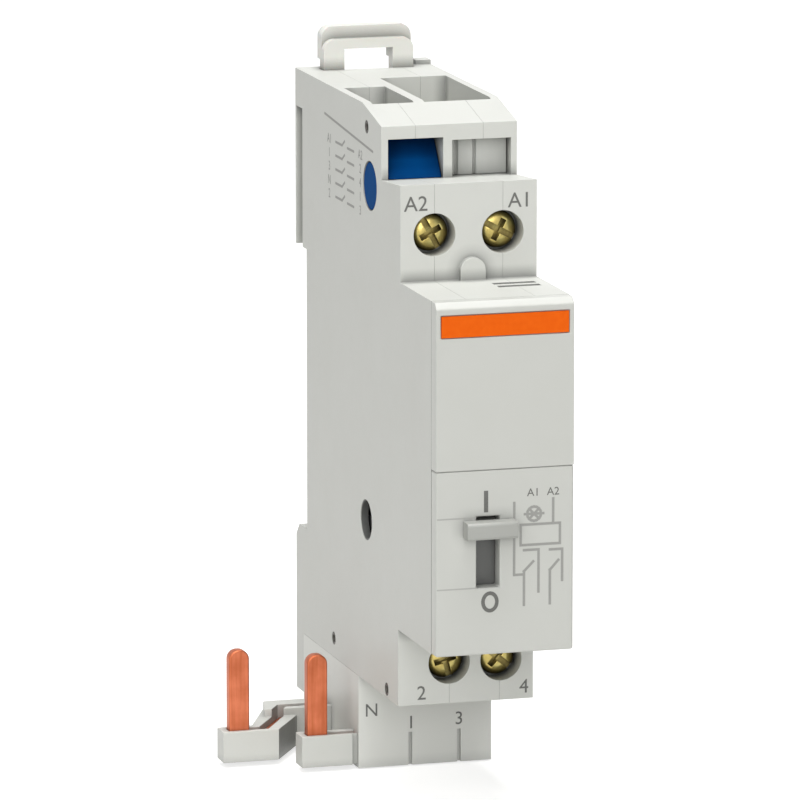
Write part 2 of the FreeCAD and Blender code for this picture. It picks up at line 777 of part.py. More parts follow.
def make_contact_carrier():
    carrier = piece("contact_carrier")
    reach = "bridge_width / 2 + carrier_side + carrier_post"
    wide = ("low_left_screw - (%s)" % reach, "low_screw_right + (%s)" % reach)
    deep = ("-carrier_front", "-carrier_back")
    block(carrier, wide, deep, ("-carrier_sill", "-carrier_top"))
    for _, x in POLES:
        opening = ("-carrier_sill + sill_thick", "-spring_room")
        block(carrier, around(x, "bridge_width / 2 + carrier_side"), deep, opening, cut=True)
    # arm and pin that the rocker works, and the boss seen through the coupling hole
    arm = ("rocker_right + fit_gap", "arm_right")
    arm_up = ("-carrier_top - pin_width / 2", "-carrier_pin_down + pin_width")
    block(carrier, arm, ("-carrier_pin_depth - pin_width", "-carrier_back"), arm_up)
    pin = [("-carrier_pin_depth", "-carrier_pin_down", "pin_width")]
    disc(carrier, "x", "-rocker_left", "arm_right - rocker_thick / 2", pin)
    boss = [("-carrier_front + pin_width / 2", "-carrier_top - pin_width / 2", "pin_width")]
    disc(carrier, "x", "inner_left + fit_gap", wide[0], boss)


def coil_spring(label, x, y, low, high, width, wire, pitch):
    """A helical spring along z."""
    helix = doc.addObject("Part::Helix", label + "_path")
    inset = "%s / 2 + fit_gap / 2" % wire
    bind(helix, "Radius", "(%s - %s) / 2" % (width, wire))
    bind(helix, "Height", "(%s) - (%s) - 2 * (%s)" % (high, low, inset))
    bind(helix, "Pitch", pitch)
    ring = doc.addObject("Part::Circle", label + "_wire")
    bind(ring, "Radius", wire + " / 2")
    ring.Placement = Placement(Vector(0, 0, 0), Rotation(Vector(1, 0, 0), 90))
    bind(ring, "Placement.Base.x", "(%s - %s) / 2" % (width, wire))
    doc.recompute()
    spring = doc.addObject("Part::Sweep", label)
    spring.Label = label
    spring.Sections = [ring]
    spring.Spine = (helix, ["Edge%d" % n for n in range(1, len(helix.Shape.Edges) + 1)])
    spring.Solid = True
    spring.Frenet = True
    spring.Placement = Placement(Vector(0, 0, 0), Rotation())
    bind(spring, "Placement.Base.x", x)
    bind(spring, "Placement.Base.y", y)
    bind(spring, "Placement.Base.z", "(%s) + (%s)" % (low, inset))
    PIECES.append(spring)


def make_bridges():
    for side, x in POLES:
        bridge = piece("contact_bridge_" + side)
        long = ("-bridge_front", "-bridge_back")
        block(bridge, around(x, "bridge_width / 2"), long, ("-bridge_low", "-bridge_top"))
        tips = piece("moving_tips_" + side, several=True)
        spots = [(x, "-tip_front", "tip_width"), (x, "-tip_back", "tip_width")]
        disc(tips, "z", "-tip_meet", "-bridge_low", spots)
        fixed = piece("fixed_tips_" + side, several=True)
        disc(fixed, "z", "-foot_top", "-tip_meet", spots)
        coil_spring("contact_spring_" + side, x, "-(carrier_front + carrier_back) / 2",
                    "-bridge_top", "-spring_room", "contact_coil", "contact_wire", "2 * contact_wire")


# ---------------------------------------------------------------- terminals

def make_terminals():
    for name, x, z, face, bar in TERMINALS:
        seat = "-(%s - head_sunk - head_height)" % face
        head_front = "-(%s - head_sunk)" % face
        screw = piece("terminal_screw_" + name)
        disc(screw, "y", head_front, seat, [(x, z, "head_width")])
        disc(screw, "y", seat, "-%s - fit_gap" % bar, [(x, z, "shank_width")])
        slot = (head_front, head_front + " + head_height / 2")
        block(screw, around(x, "head_width / 2"), slot, around(z, "head_height / 4"), cut=True)
        block(screw, around(x, "head_height / 4"), slot, around(z, "head_width / 3"), cut=True)
        cage = piece("terminal_cage_" + name)
        front, back = "-%s - cage_front" % bar, "-%s + cage_rear" % bar
        block(cage, around(x, "cage_width / 2"), (front, back), around(z, "cage_height / 2"))
        hollow = (front + " + cage_nut", "%s - cage_wall" % back)
        block(cage, around(x, "cage_width / 2 - cage_wall"), hollow, around(z, "cage_height / 2"), cut=True)
        disc(cage, "y", front, front + " + cage_nut", [(x, z, "shank_width + 2 * pin_gap")], cut=True)
    for name, x, z, face, bar in TERMINALS[:2]:
        terminal_bar = piece("coil_terminal_" + name)
        deep = ("-" + bar, "-%s + bar_thick" % bar)
        low, high = "lead_up - lead_width", z + " + cage_height / 2"
        block(terminal_bar, around(x, "bar_width / 2"), deep, (low, high))
        lead = piece("coil_lead_" + name)
        reach = "-coil_depth - sqrt(pow(winding_width / 2; 2) - pow(screw_offset; 2)) - lead_width / 2"
        disc(lead, "y", "-%s + bar_thick" % bar, reach, [(x, "lead_up", "lead_width")])
    for name, x, z, face, bar in TERMINALS[2:]:
        contact_bar = piece("contact_bar_" + name)
        deep = ("-" + bar, "-%s + bar_thick" % bar)
        low = z + " - cage_height / 2"
        block(contact_bar, around(x, "bar_width / 2"), deep, (low, "-foot_top"))
        foot = ("-%s + bar_thick" % bar, "-tip_front + tip_width / 2")
        block(contact_bar, around(x, "bar_width / 2"), foot, ("-room_top", "-foot_top"))


# ---------------------------------------------------------------- coil and magnet

def make_coil():
    middle = ("0", "-coil_depth")
    bobbin = piece("coil_bobbin")
    disc(bobbin, "z", "-coil_low", "coil_top", [middle + ("tube_width",)])
    for low, high in (("-coil_low", "-coil_low + flange_thick"), ("coil_top - flange_thick", "coil_top")):
        disc(bobbin, "z", low, high, [middle + ("flange_width",)])
    bore = [middle + ("core_width + 2 * pin_gap",)]
    disc(bobbin, "z", "-coil_low", "coil_top", bore, cut=True)
    winding = piece("coil_winding")
    span = ("-coil_low + flange_thick", "coil_top - flange_thick")
    disc(winding, "z", span[0], span[1], [middle + ("winding_width",)])
    disc(winding, "z", span[0], span[1], [middle + ("tube_width",)], cut=True)
    core = piece("magnet_core")
    disc(core, "z", "-core_end", "yoke_top", [middle + ("core_width",)])
    yoke = piece("magnet_yoke")
    corner = "-yoke_back - yoke_thick"
    block(yoke, ("-yoke_half", "yoke_half"), (corner, "-yoke_back"), ("-yoke_end", "yoke_top"))
    block(yoke, ("-yoke_half", "yoke_half"), ("-yoke_front", corner), ("yoke_top - yoke_thick", "yoke_top"))
    disc(yoke, "z", "yoke_top - yoke_thick", "yoke_top", [middle + ("core_width",)], cut=True)
    lug = ("-yoke_back", "-wall")
    block(yoke, around("0", "return_coil"), lug, ("return_top", "return_top + yoke_thick"))
    # two cheeks that carry the armature's trunnions
    cheek = around("-hinge_depth", "cheek_half")
    cheek_up = ("-hinge_down - cheek_half", "-yoke_end + cheek_rise")
    hole = [("-hinge_depth", "-hinge_down", "hinge_pin + 2 * pin_gap")]
    for across in (("-yoke_half", "-yoke_half + cheek_thick"), ("yoke_half - cheek_thick", "yoke_half")):
        block(yoke, across, cheek, cheek_up)
        disc(yoke, "x", across[0], across[1], hole, cut=True)


def make_armature():
    armature = piece("armature")
    deep = ("-armature_front", "-armature_tail")
    block(armature, ("-armature_half", "armature_half"), deep, ("-armature_top - armature_thick", "-armature_top"))
    trunnion = [("-hinge_depth", "-hinge_down", "hinge_pin")]
    disc(armature, "x", "-armature_half - cheek_thick", "armature_half + cheek_thick", trunnion)
    arm = piece("drive_arm")
    drive_deep = ("-drive_front", "-coil_depth")
    drive_up = ("-armature_top - armature_thick - drive_thick", "-armature_top - armature_thick")
    across = ("-drive_left", "-drive_left + drive_width")
    block(arm, across, drive_deep, drive_up)
    hook = ("-drive_front", "-drive_front + drive_thick")
    block(arm, across, hook, (drive_up[1], "-armature_top"))
    coil_spring("return_spring", "0", "-return_depth", "-armature_top", "return_top",
                "return_coil", "return_wire", "2 * return_wire")


# ---------------------------------------------------------------- clip for the rail

def make_clip():
    clip = piece("din_clip")
    lean = "clip_lip / 2"
    profile = [
        ("clip_front + " + lean, "clip_end"),
        ("clip_front", "clip_end + " + lean),
        ("clip_front", "clip_front_top"),
        ("clip_front + clip_lip", "clip_front_top"),
        ("clip_front + clip_lip", "clip_top"),
        ("clip_back + clip_lip", "clip_top"),
        ("clip_back + clip_lip", "case_top + clip_lip"),
        ("clip_back", "case_top + clip_lip"),
        ("clip_back", "clip_end"),
    ]
    prism(clip, "x", "-clip_half", "clip_half", profile)
    deep = ("clip_front", "clip_back + clip_lip")
    block(clip, ("-clip_eye_half", "clip_eye_half"), deep, ("clip_eye_low", "clip_eye_top"), cut=True)
    window = ("clip_window_low", "clip_peg_low + clip_peg_height + clip_travel + fit_gap")
    block(clip, ("-clip_window_half", "clip_window_half"), deep, window, cut=True)
    soften(clip, "Fillet", "clip_corner", lambda e: along(e, "y")
           and abs(abs(e.BoundBox.XMin) - value("clip_half")) < 0.01
           and e.BoundBox.ZMin > value("clip_front_top") - 0.01)
    coil_spring("clip_spring", "0", "clip_front + clip_thick / 2", "clip_window_low",
                "clip_peg_low", "clip_coil", "clip_wire", "clip_wire + clip_turn_gap")


# ---------------------------------------------------------------- markers in the windows

def make_markers():
    blue = piece("blue_marker")
    ramp = [
        ("-window_face + 2 * fit_gap", "window_floor"),
        ("-window_face + blue_lean", "blue_top"),
        ("-window_face + window_depth", "blue_top"),
        ("-window_face + window_depth", "window_floor"),
    ]
    prism(blue, "x", "-blue_left + fit_gap", "-blue_right - fit_gap", ramp)
    width = "boss_width - 2 * fit_gap"
    disc(blue, "x", "left + fit_gap", "-blue_left + fit_gap", [("-boss_back", "boss_up", width)])
    grey = piece("grey_marker")
    deep = ("-window_face + grey_sunk", "-window_face + window_depth")
    block(grey, ("grey_left + fit_gap", "grey_right - fit_gap"), deep, ("window_floor", "grey_top"))
    for x in ("grey_rib", "grey_rib + grey_pitch"):
        groove = (deep[0], deep[0] + " + grey_groove")
        block(grey, around(x, "grey_groove / 2"), groove, ("window_floor", "grey_top"), cut=True)


# ---------------------------------------------------------------- prongs and their block

def rail_outline(start, jog, depth, end_depth, end, extra):
    """Plan of a flat bar on edge: straight, a slanting jog backward, then straight."""
    grow = extra
    slant = "far_jog"
    return [
        (start + " - " + grow, "-%s - %s" % (depth, grow)),
        (jog + " + " + grow, "-%s - %s" % (depth, grow)),
        (jog + " + " + slant + " + " + grow, "-%s - %s" % (end_depth, grow)),
        (end + " + " + grow, "-%s - %s" % (end_depth, grow)),
        (end + " + " + grow, "-%s + rail_thick + %s" % (end_depth, grow)),
        (jog + " + " + slant + " - rail_thick / 2", "-%s + rail_thick + %s" % (end_depth, grow)),
        (jog + " - rail_thick / 2 - " + grow, "-%s + rail_thick + %s" % (depth, grow)),
        (start + " - " + grow, "-%s + rail_thick + %s" % (depth, grow)),
    ]


NEAR_RAIL = ("-near_prong - prong_width / 2", "left + rail_thick / 2", "near_rail", "near_riser",
             "low_left_screw + riser_width / 2")
FAR_RAIL = ("-far_prong - prong_width / 2", "-far_right - prong_width / 2", "far_rail", "far_riser",
            "low_screw_right + riser_width / 2")


def make_comb_block():
    comb = piece("comb_block")
    bottom = "-comb_bottom + comb_cover"
    block(comb, ("left", "right"), ("-comb_front", "leg_front"), (bottom, "-terminal_bottom"))
    for rail in (NEAR_RAIL, FAR_RAIL):
        prism(comb, "z", bottom, "-rail_top + fit_gap", rail_outline(*rail, extra="fit_gap"), cut=True)
    for x, depth in (("low_left_screw", "near_riser"), ("low_screw_right", "far_riser")):
        room = ("-%s - fit_gap" % depth, "-%s + rail_thick + fit_gap" % depth)
        rise = ("-rail_top", "-terminal_bottom")
        block(comb, around(x, "riser_width / 2 + fit_gap"), room, rise, cut=True)
    cover = piece("comb_cover")
    block(cover, ("left", "right"), ("-comb_front", "leg_front"), ("-comb_bottom", bottom))
    for part in (comb, cover):
        low, high = ("-comb_bottom", bottom) if part is cover else (bottom, "-groove_top")
        for x in ("-groove_left", "groove_right"):
            groove = ("-comb_front", "-comb_front + groove_depth")
            block(part, around(x, "groove_width / 2"), groove, (low, high), cut=True)


def cut_prong_slot(carrier, x, depth, top):
    """Room for the thicker upright prong in its carrier."""
    room = ("-%s - fit_gap" % depth, "-%s + prong_thick + fit_gap" % depth)
    block(carrier, around(x, "prong_width / 2 + fit_gap"), room, ("-rail_low - fit_gap", top), cut=True)


def make_prong_carriers():
    near = piece("prong_carrier_right")
    top = "-comb_bottom + carrier_height"
    block(near, ("-near_left", "left"), ("-comb_front", "-near_back"), ("-carrier_bottom", top))
    strip = ("-comb_front", "-comb_front + groove_depth")
    block(near, ("left - near_groove", "left"), strip, ("-carrier_bottom", top), cut=True)
    prism(near, "z", "-rail_low - fit_gap", top, rail_outline(*NEAR_RAIL, extra="fit_gap"), cut=True)
    cut_prong_slot(near, "-near_prong", "near_rail", top)
    far = piece("prong_carrier_left")
    front = "-comb_front + far_back"
    plan = [
        ("-far_left", front),
        ("-far_right", front),
        ("-far_right + far_jog", "-link_front"),
        ("left", "-link_front"),
        ("left", "-link_back"),
        ("-far_right + far_jog / 4", "-link_back"),
        ("-far_right - link_wall", "-far_rear"),
        ("-far_left", "-far_rear"),
    ]
    prism(far, "z", "-carrier_bottom", top, plan)
    arm = [
        ("-far_right + far_jog", "-link_front"),
        ("left", "-link_front"),
        ("left", "-link_back"),
        ("-far_right + far_jog / 4", "-link_back"),
        ("-far_right", "-link_front"),
    ]
    prism(far, "z", "-carrier_bottom", "-comb_bottom + arm_height", arm)
    high = "-comb_bottom + arm_height"
    prism(far, "z", "-rail_low - fit_gap", high, rail_outline(*FAR_RAIL, extra="fit_gap"), cut=True)
    cut_prong_slot(far, "-far_prong", "far_rail", top)


def make_prongs():
    poles = [
        ("right", NEAR_RAIL, "-near_prong", "near_rail", "low_left_screw", "near_riser"),
        ("left", FAR_RAIL, "-far_prong", "far_rail", "low_screw_right", "far_riser"),
    ]
    for side, rail, x, depth, pole_x, riser in poles:
        prong = piece("prong_" + side)
        prism(prong, "z", "-rail_low", "-rail_top", rail_outline(*rail, extra="0"))
        deep = ("-" + depth, "-%s + prong_thick" % depth)
        block(prong, around(x, "prong_width / 2"), deep, ("-rail_low", "-prong_tip"))
        soften(prong, "Fillet", "prong_corner", lambda e: along(e, "y")
               and e.BoundBox.ZMin > value("-prong_tip") - 0.01)
        bar = piece("riser_bar_" + side)
        thick = ("-" + riser, "-%s + rail_thick" % riser)
        block(bar, around(pole_x, "riser_width / 2"), thick, ("-rail_top", "-foot_top"))
        foot = ("-tip_back - tip_width / 2", "-" + riser)
        block(bar, around(pole_x, "riser_width / 2"), foot, ("-room_top", "-foot_top"))


make_case_left()
make_case_middle()
make_case_right()
make_rivets()
make_front_covers()
make_lever()
make_rocker()
make_contact_carrier()
make_bridges()
make_terminals()
make_coil()
make_armature()
make_clip()
make_markers()
make_comb_block()
make_prong_carriers()
make_prongs()

doc.recompute()

for thing in doc.Objects:
    if "Invalid" in thing.State or "Error" in thing.State:
        raise RuntimeError("%s did not build: %s" % (thing.Name, thing.State))
    if thing.TypeId == "PartDesign::Pocket":
        removed = thing.BaseFeature.Shape.Volume - thing.Shape.Volume
        if removed < 1e-6:
            print("cuts nothing:", thing.Name)

os.makedirs("parts", exist_ok=True)
for part in PIECES:
    if part.Shape.isNull() or not part.Shape.isValid():
        raise RuntimeError("%s has no valid shape" % part.Label)
for part in PIECES:
    part.Shape.exportStep("parts/%s.step" % part.Label)
print(len(PIECES), "pieces")
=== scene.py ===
import math

import bmesh
import bpy
from mathutils import Matrix, Vector
from mathutils.bvhtree import BVHTree


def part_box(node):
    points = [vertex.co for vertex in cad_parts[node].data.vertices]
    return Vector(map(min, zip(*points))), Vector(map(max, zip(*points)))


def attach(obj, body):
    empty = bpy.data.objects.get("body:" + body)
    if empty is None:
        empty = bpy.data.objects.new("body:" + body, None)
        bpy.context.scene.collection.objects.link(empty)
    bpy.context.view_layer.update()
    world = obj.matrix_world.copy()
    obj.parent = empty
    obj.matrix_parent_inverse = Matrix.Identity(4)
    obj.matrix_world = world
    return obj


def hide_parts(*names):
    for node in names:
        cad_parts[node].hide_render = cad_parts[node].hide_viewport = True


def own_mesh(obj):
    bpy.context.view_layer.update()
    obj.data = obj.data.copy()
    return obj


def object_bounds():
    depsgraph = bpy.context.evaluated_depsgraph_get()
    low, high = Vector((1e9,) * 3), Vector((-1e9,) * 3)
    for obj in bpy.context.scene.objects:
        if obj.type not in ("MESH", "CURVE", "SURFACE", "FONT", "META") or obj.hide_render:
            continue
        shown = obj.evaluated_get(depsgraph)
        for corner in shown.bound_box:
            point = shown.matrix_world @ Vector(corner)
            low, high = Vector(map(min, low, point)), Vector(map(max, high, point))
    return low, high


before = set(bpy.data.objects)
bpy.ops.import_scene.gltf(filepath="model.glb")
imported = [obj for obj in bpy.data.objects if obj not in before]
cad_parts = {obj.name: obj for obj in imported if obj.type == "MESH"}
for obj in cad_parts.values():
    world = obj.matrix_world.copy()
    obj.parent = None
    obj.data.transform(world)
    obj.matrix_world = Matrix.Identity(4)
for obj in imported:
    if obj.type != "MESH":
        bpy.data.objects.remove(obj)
cad_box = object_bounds()

# ---------------------------------------------------------------- case
# The body is three shells of light grey glass-filled polyamide, injection moulded and
# riveted together. Every outer edge keeps the small radius of the mould, so the two
# joints between the shells read as fine V grooves down the front.

MOULD_RADIUS = 0.00015
GREY_SHELL = "#D0D1CC"
GREY_SHELL_DULL = "#CBCCC6"
# GREY_BLOCK and its dull tone are paler than the shells' grey, as painted light on the block.
GREY_BLOCK = "#E0E1DC"
GREY_BLOCK_DULL = "#DBDCD6"
FLOW_MARK = 0.006        # width of the clouds that the melt leaves, 6 mm
MOULD_GRAIN = 0.0004     # spark-eroded mould grain; 0.1 mm in truth, drawn at 0.4 mm to show
GREY_SHELL_GAP_SHADE = "#747572"
GREY_SMALL_GAP_SHADE = "#A0A19D"
GREY_BLOCK_GAP_SHADE = "#C4C5C1"
GREY_FLANK_SHADE = "#727370"
# CREVICE and GLOOM set the painted shade in narrow gaps: how far it reaches, how fast it
# deepens.
CREVICE = 0.0018         # how wide a gap may be before daylight reaches into it
GLOOM = 2.0              # how fast the tone deepens in a gap
WELD_GAP = 1e-6          # corners this close are one corner
FLAT = 1                 # facets turning less than this many degrees are one flat face
SHARP = 35               # an edge turning more than this many degrees is rounded
FACE_WEIGHT = 90         # how far large faces keep their shading flat beside a rounded edge


def linear(code):
    """An sRGB hex colour as the linear colour that a shader takes."""
    channels = []
    for start in (1, 3, 5):
        share = int(code[start:start + 2], 16) / 255
        channels.append(share / 12.92 if share <= 0.04045 else ((share + 0.055) / 1.055) ** 2.4)
    return (*channels, 1.0)


def add(tree, kind, sockets=None, **settings):
    """Add one shader node, set it, and fill its sockets with values or links."""
    made = tree.nodes.new("ShaderNode" + kind)
    for name, setting in settings.items():
        setattr(made, name, setting)
    for name, given in (sockets or {}).items():
        if isinstance(given, bpy.types.NodeSocket):
            tree.links.new(given, made.inputs[name])
        else:
            made.inputs[name].default_value = given
    return made


def begin(name):
    """A new empty material, and the place on the object that its patterns follow."""
    material = bpy.data.materials.new(name)
    material.use_nodes = True
    material.node_tree.nodes.clear()
    place = add(material.node_tree, "TexCoord").outputs["Object"]
    return material, material.node_tree, place


def paint_gap_shade(tree, colour, gap_shade, reach=CREVICE):
    """Paint shade into a colour where the surface lies in a narrow gap."""
    open_sky = add(tree, "AmbientOcclusion", {"Distance": reach}, samples=8)
    share = add(tree, "Math", {0: open_sky.outputs["AO"], 1: GLOOM}, operation="POWER")
    return add(tree, "Mix", {0: share.outputs[0], 6: linear(gap_shade), 7: colour},
               data_type="RGBA").outputs[2]


def wear(material, *names):
    """Give CAD nodes a material on the object; the one in their mesh stays as it is."""
    for name in names:
        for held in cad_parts[name].material_slots:
            held.link = "OBJECT"
            held.material = material


def round_edges(radius, *names):
    """Round the sharp edges of CAD nodes with modifiers; their own meshes stay as they are."""
    for name in names:
        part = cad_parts[name]
        weld = part.modifiers.new("weld", "WELD")
        weld.merge_threshold = WELD_GAP
        flats = part.modifiers.new("flats", "DECIMATE")
        flats.decimate_type = "DISSOLVE"
        flats.angle_limit = math.radians(FLAT)
        edge = part.modifiers.new("edge", "BEVEL")
        edge.width = radius
        edge.segments = 2
        edge.limit_method = "ANGLE"
        edge.angle_limit = math.radians(SHARP)
        shade = part.modifiers.new("shade", "WEIGHTED_NORMAL")
        shade.weight = FACE_WEIGHT


# Moulded glass-filled polyamide: matt to satin, with a fine eroded grain that breaks up
# the highlight, faint clouds where the melt flowed and painted shade in narrow gaps. The
# block under the case is painted paler, as painted light. The small mouldings on it take
# a lighter painted shade in their gaps, and a darker painted shade on sides facing right.
shells = []
for name, light, dull, gap_shade, flank_shade in (
        ("moulded_polyamide", GREY_SHELL, GREY_SHELL_DULL, GREY_SHELL_GAP_SHADE, GREY_SHELL),
        ("moulded_polyamide_small", GREY_SHELL, GREY_SHELL_DULL, GREY_SMALL_GAP_SHADE, GREY_FLANK_SHADE),
        ("moulded_polyamide_block", GREY_BLOCK, GREY_BLOCK_DULL, GREY_BLOCK_GAP_SHADE, GREY_BLOCK)):
    moulding, tree, place = begin(name)
    flow = add(tree, "TexNoise", {"Vector": place, "Scale": 1 / FLOW_MARK, "Detail": 2.0})
    tint = add(tree, "Mix", {0: flow.outputs[0], 6: linear(light), 7: linear(dull)},
               data_type="RGBA")
    grain = add(tree, "TexNoise", {"Vector": place, "Scale": 1 / MOULD_GRAIN, "Detail": 3.0})
    gloss = add(tree, "MapRange", {"Value": grain.outputs[0], "To Min": 0.38, "To Max": 0.54})
    skin = add(tree, "Bump", {"Height": grain.outputs[0], "Strength": 0.25, "Distance": 0.00003})
    # Sides facing right, turned away from the lamps, are given a darker painted shade.
    heading = add(tree, "SeparateXYZ", {0: add(tree, "NewGeometry").outputs["True Normal"]})
    rightward = add(tree, "MapRange", {"Value": heading.outputs["X"], "From Min": 0.3,
                                       "From Max": 0.6})
    flank_shaded = add(tree, "Mix", {0: rightward.outputs[0], 6: tint.outputs[2], 7: linear(flank_shade)},
                data_type="RGBA")
    shader = add(tree, "BsdfPrincipled", {"Base Color": paint_gap_shade(tree, flank_shaded.outputs[2], gap_shade),
                                          "Roughness": gloss.outputs[0], "IOR": 1.53,
                                          "Normal": skin.outputs[0]})
    add(tree, "OutputMaterial", {"Surface": shader.outputs[0]})
    shells.append(moulding)
polyamide, polyamide_small, polyamide_block = shells

wear(polyamide, "case_left", "case_middle", "case_right")
round_edges(MOULD_RADIUS, "case_left", "case_middle", "case_right")

# ---------------------------------------------------------------- rivets
# Three tubular rivets of nickel-plated steel pass through the shells, and their ends are
# rolled over in the holes, flush with the sides.

RIVET_ROLL = 0.00018
NICKEL_SHADED = "#5E5C57"
NICKEL_DULL = "#3E3D3A"
DRAW_LINE = 0.0005       # spacing of the marks that the setting tool leaves, 0.5 mm

# Plated steel: a warm grey metal, darkened as painted shade of the holes it sits in, and
# dulled a little where the tool has rubbed it.
nickel, tree, place = begin("nickel_plated_steel")
rub = add(tree, "TexNoise", {"Vector": place, "Scale": 1 / DRAW_LINE, "Detail": 4.0})
tint = add(tree, "Mix", {0: rub.outputs[0], 6: linear(NICKEL_SHADED), 7: linear(NICKEL_DULL)},
           data_type="RGBA")
gloss = add(tree, "MapRange", {"Value": rub.outputs[0], "To Min": 0.25, "To Max": 0.5})
skin = add(tree, "Bump", {"Height": rub.outputs[0], "Strength": 0.2, "Distance": 0.00002})
shader = add(tree, "BsdfPrincipled", {"Base Color": tint.outputs[2], "Metallic": 1.0,
                                      "Roughness": gloss.outputs[0], "Normal": skin.outputs[0]})
add(tree, "OutputMaterial", {"Surface": shader.outputs[0]})

wear(nickel, "case_rivets", "rocker_pin")
round_edges(RIVET_ROLL, "case_rivets")

# ---------------------------------------------------------------- coil
# The coil is enamelled copper wire wound on a black moulded bobbin. Its two ends are bent
# forward to the screw terminals at the top.

WIRE_PITCH = 0.0004      # wire of 0.1 mm in truth, drawn at 0.4 mm so that the turns show
ENAMEL_VALLEY_SHADE = "#9A3F1E"
ENAMEL_LIT = "#C46A38"
BLACK_MOULDING = "#1E1F20"
BLACK_MOULDING_WORN = "#2B2C2E"
WAVE_RATE = 20           # a wave texture of scale 1 has this many radians to the metre

# Enamelled wire: reddish copper under a clear varnish, in even turns, painted lighter on
# their crests and darker in the valleys as painted light and shade.
winding, tree, place = begin("enamelled_wire")
turns = add(tree, "TexWave", {"Vector": place, "Scale": math.tau / WIRE_PITCH / WAVE_RATE,
                              "Distortion": 0.4, "Detail": 1.0}, bands_direction="Z")
tint = add(tree, "Mix", {0: turns.outputs[0], 6: linear(ENAMEL_VALLEY_SHADE), 7: linear(ENAMEL_LIT)},
           data_type="RGBA")
skin = add(tree, "Bump", {"Height": turns.outputs[0], "Strength": 0.8, "Distance": 0.0001})
shader = add(tree, "BsdfPrincipled", {"Base Color": tint.outputs[2], "Metallic": 0.7,
                                      "Roughness": 0.35, "Coat Weight": 0.6,
                                      "Coat Roughness": 0.15, "Normal": skin.outputs[0]})
add(tree, "OutputMaterial", {"Surface": shader.outputs[0]})
wear(winding, "coil_winding")

# Black moulded polyester: a smooth satin black, a little grey where it is handled.
black, tree, place = begin("moulded_black_polyester")
cloud = add(tree, "TexNoise", {"Vector": place, "Scale": 1 / FLOW_MARK, "Detail": 4.0})
tint = add(tree, "Mix", {0: cloud.outputs[0], 6: linear(BLACK_MOULDING),
                         7: linear(BLACK_MOULDING_WORN)}, data_type="RGBA")
grain = add(tree, "TexNoise", {"Vector": place, "Scale": 1 / MOULD_GRAIN, "Detail": 2.0})
skin = add(tree, "Bump", {"Height": grain.outputs[0], "Strength": 0.2, "Distance": 0.00003})
shader = add(tree, "BsdfPrincipled", {"Base Color": tint.outputs[2], "Roughness": 0.45,
                                      "IOR": 1.57, "Normal": skin.outputs[0]})
add(tree, "OutputMaterial", {"Surface": shader.outputs[0]})
wear(black, "coil_bobbin", "contact_carrier")

# ---------------------------------------------------------------- magnet
# The core, the bent yoke and the hinged armature are soft iron, stamped and then zinc
# plated. The pull of the coil swings the armature on its two trunnions.

IRON = "#8B8D8F"
IRON_DULL = "#6A6C6E"
ROLL_GRAIN = 0.0006      # spacing of the rolling lines in the sheet, 0.6 mm

# Zinc-plated sheet: cool grey, with fine rolling lines that stretch the highlight.
iron, tree, place = begin("zinc_plated_iron")
along_sheet = add(tree, "Mapping", {"Vector": place, "Scale": (1.0, 1.0, 0.08)})
lines = add(tree, "TexNoise", {"Vector": along_sheet.outputs[0], "Scale": 1 / ROLL_GRAIN,
                               "Detail": 5.0})
tint = add(tree, "Mix", {0: lines.outputs[0], 6: linear(IRON), 7: linear(IRON_DULL)},
           data_type="RGBA")
gloss = add(tree, "MapRange", {"Value": lines.outputs[0], "To Min": 0.3, "To Max": 0.55})
skin = add(tree, "Bump", {"Height": lines.outputs[0], "Strength": 0.2, "Distance": 0.00002})
shader = add(tree, "BsdfPrincipled", {"Base Color": tint.outputs[2], "Metallic": 1.0,
                                      "Roughness": gloss.outputs[0], "Normal": skin.outputs[0]})
add(tree, "OutputMaterial", {"Surface": shader.outputs[0]})
wear(iron, "magnet_core", "magnet_yoke", "armature")

# ---------------------------------------------------------------- springs
# Hard-drawn spring steel wire, coiled cold and oiled: one under each contact bridge, one
# that returns the armature, and one behind the rail clip.

SPRING = "#7D7F82"
SPRING_DARK = "#55575A"
DIE_LINE = 0.0003        # scratches from the drawing die, drawn at 0.3 mm

# Drawn wire: a bright, slightly dark steel with fine lengthways scratches.
spring_steel, tree, place = begin("drawn_spring_steel")
scratch = add(tree, "TexNoise", {"Vector": place, "Scale": 1 / DIE_LINE, "Detail": 3.0})
tint = add(tree, "Mix", {0: scratch.outputs[0], 6: linear(SPRING), 7: linear(SPRING_DARK)},
           data_type="RGBA")
gloss = add(tree, "MapRange", {"Value": scratch.outputs[0], "To Min": 0.2, "To Max": 0.4})
shader = add(tree, "BsdfPrincipled", {"Base Color": tint.outputs[2], "Metallic": 1.0,
                                      "Roughness": gloss.outputs[0]})
add(tree, "OutputMaterial", {"Surface": shader.outputs[0]})
wear(spring_steel, "contact_spring_left", "contact_spring_right", "return_spring")

# ---------------------------------------------------------------- contacts
# Each pole has a copper bridge with two silver tips that closes on two fixed tips. The
# bridges lie in the black carrier, which the nylon rocker and drive arm push down.

SILVER = "#D9D8D3"
SILVER_TARNISH = "#B4B0A4"
NYLON = "#E4DFD0"
NYLON_SHADE = "#D8D1BD"
TARNISH_PATCH = 0.001    # width of a patch of tarnish, 1 mm

# Silver alloy rivet: pale and softly polished, with a thin yellow tarnish in patches.
silver, tree, place = begin("silver_contact")
tarnish = add(tree, "TexNoise", {"Vector": place, "Scale": 1 / TARNISH_PATCH, "Detail": 4.0})
tint = add(tree, "Mix", {0: tarnish.outputs[0], 6: linear(SILVER), 7: linear(SILVER_TARNISH)},
           data_type="RGBA")
gloss = add(tree, "MapRange", {"Value": tarnish.outputs[0], "To Min": 0.2, "To Max": 0.45})
shader = add(tree, "BsdfPrincipled", {"Base Color": tint.outputs[2], "Metallic": 1.0,
                                      "Roughness": gloss.outputs[0]})
add(tree, "OutputMaterial", {"Surface": shader.outputs[0]})
wear(silver, "fixed_tips_left", "fixed_tips_right", "moving_tips_left", "moving_tips_right")

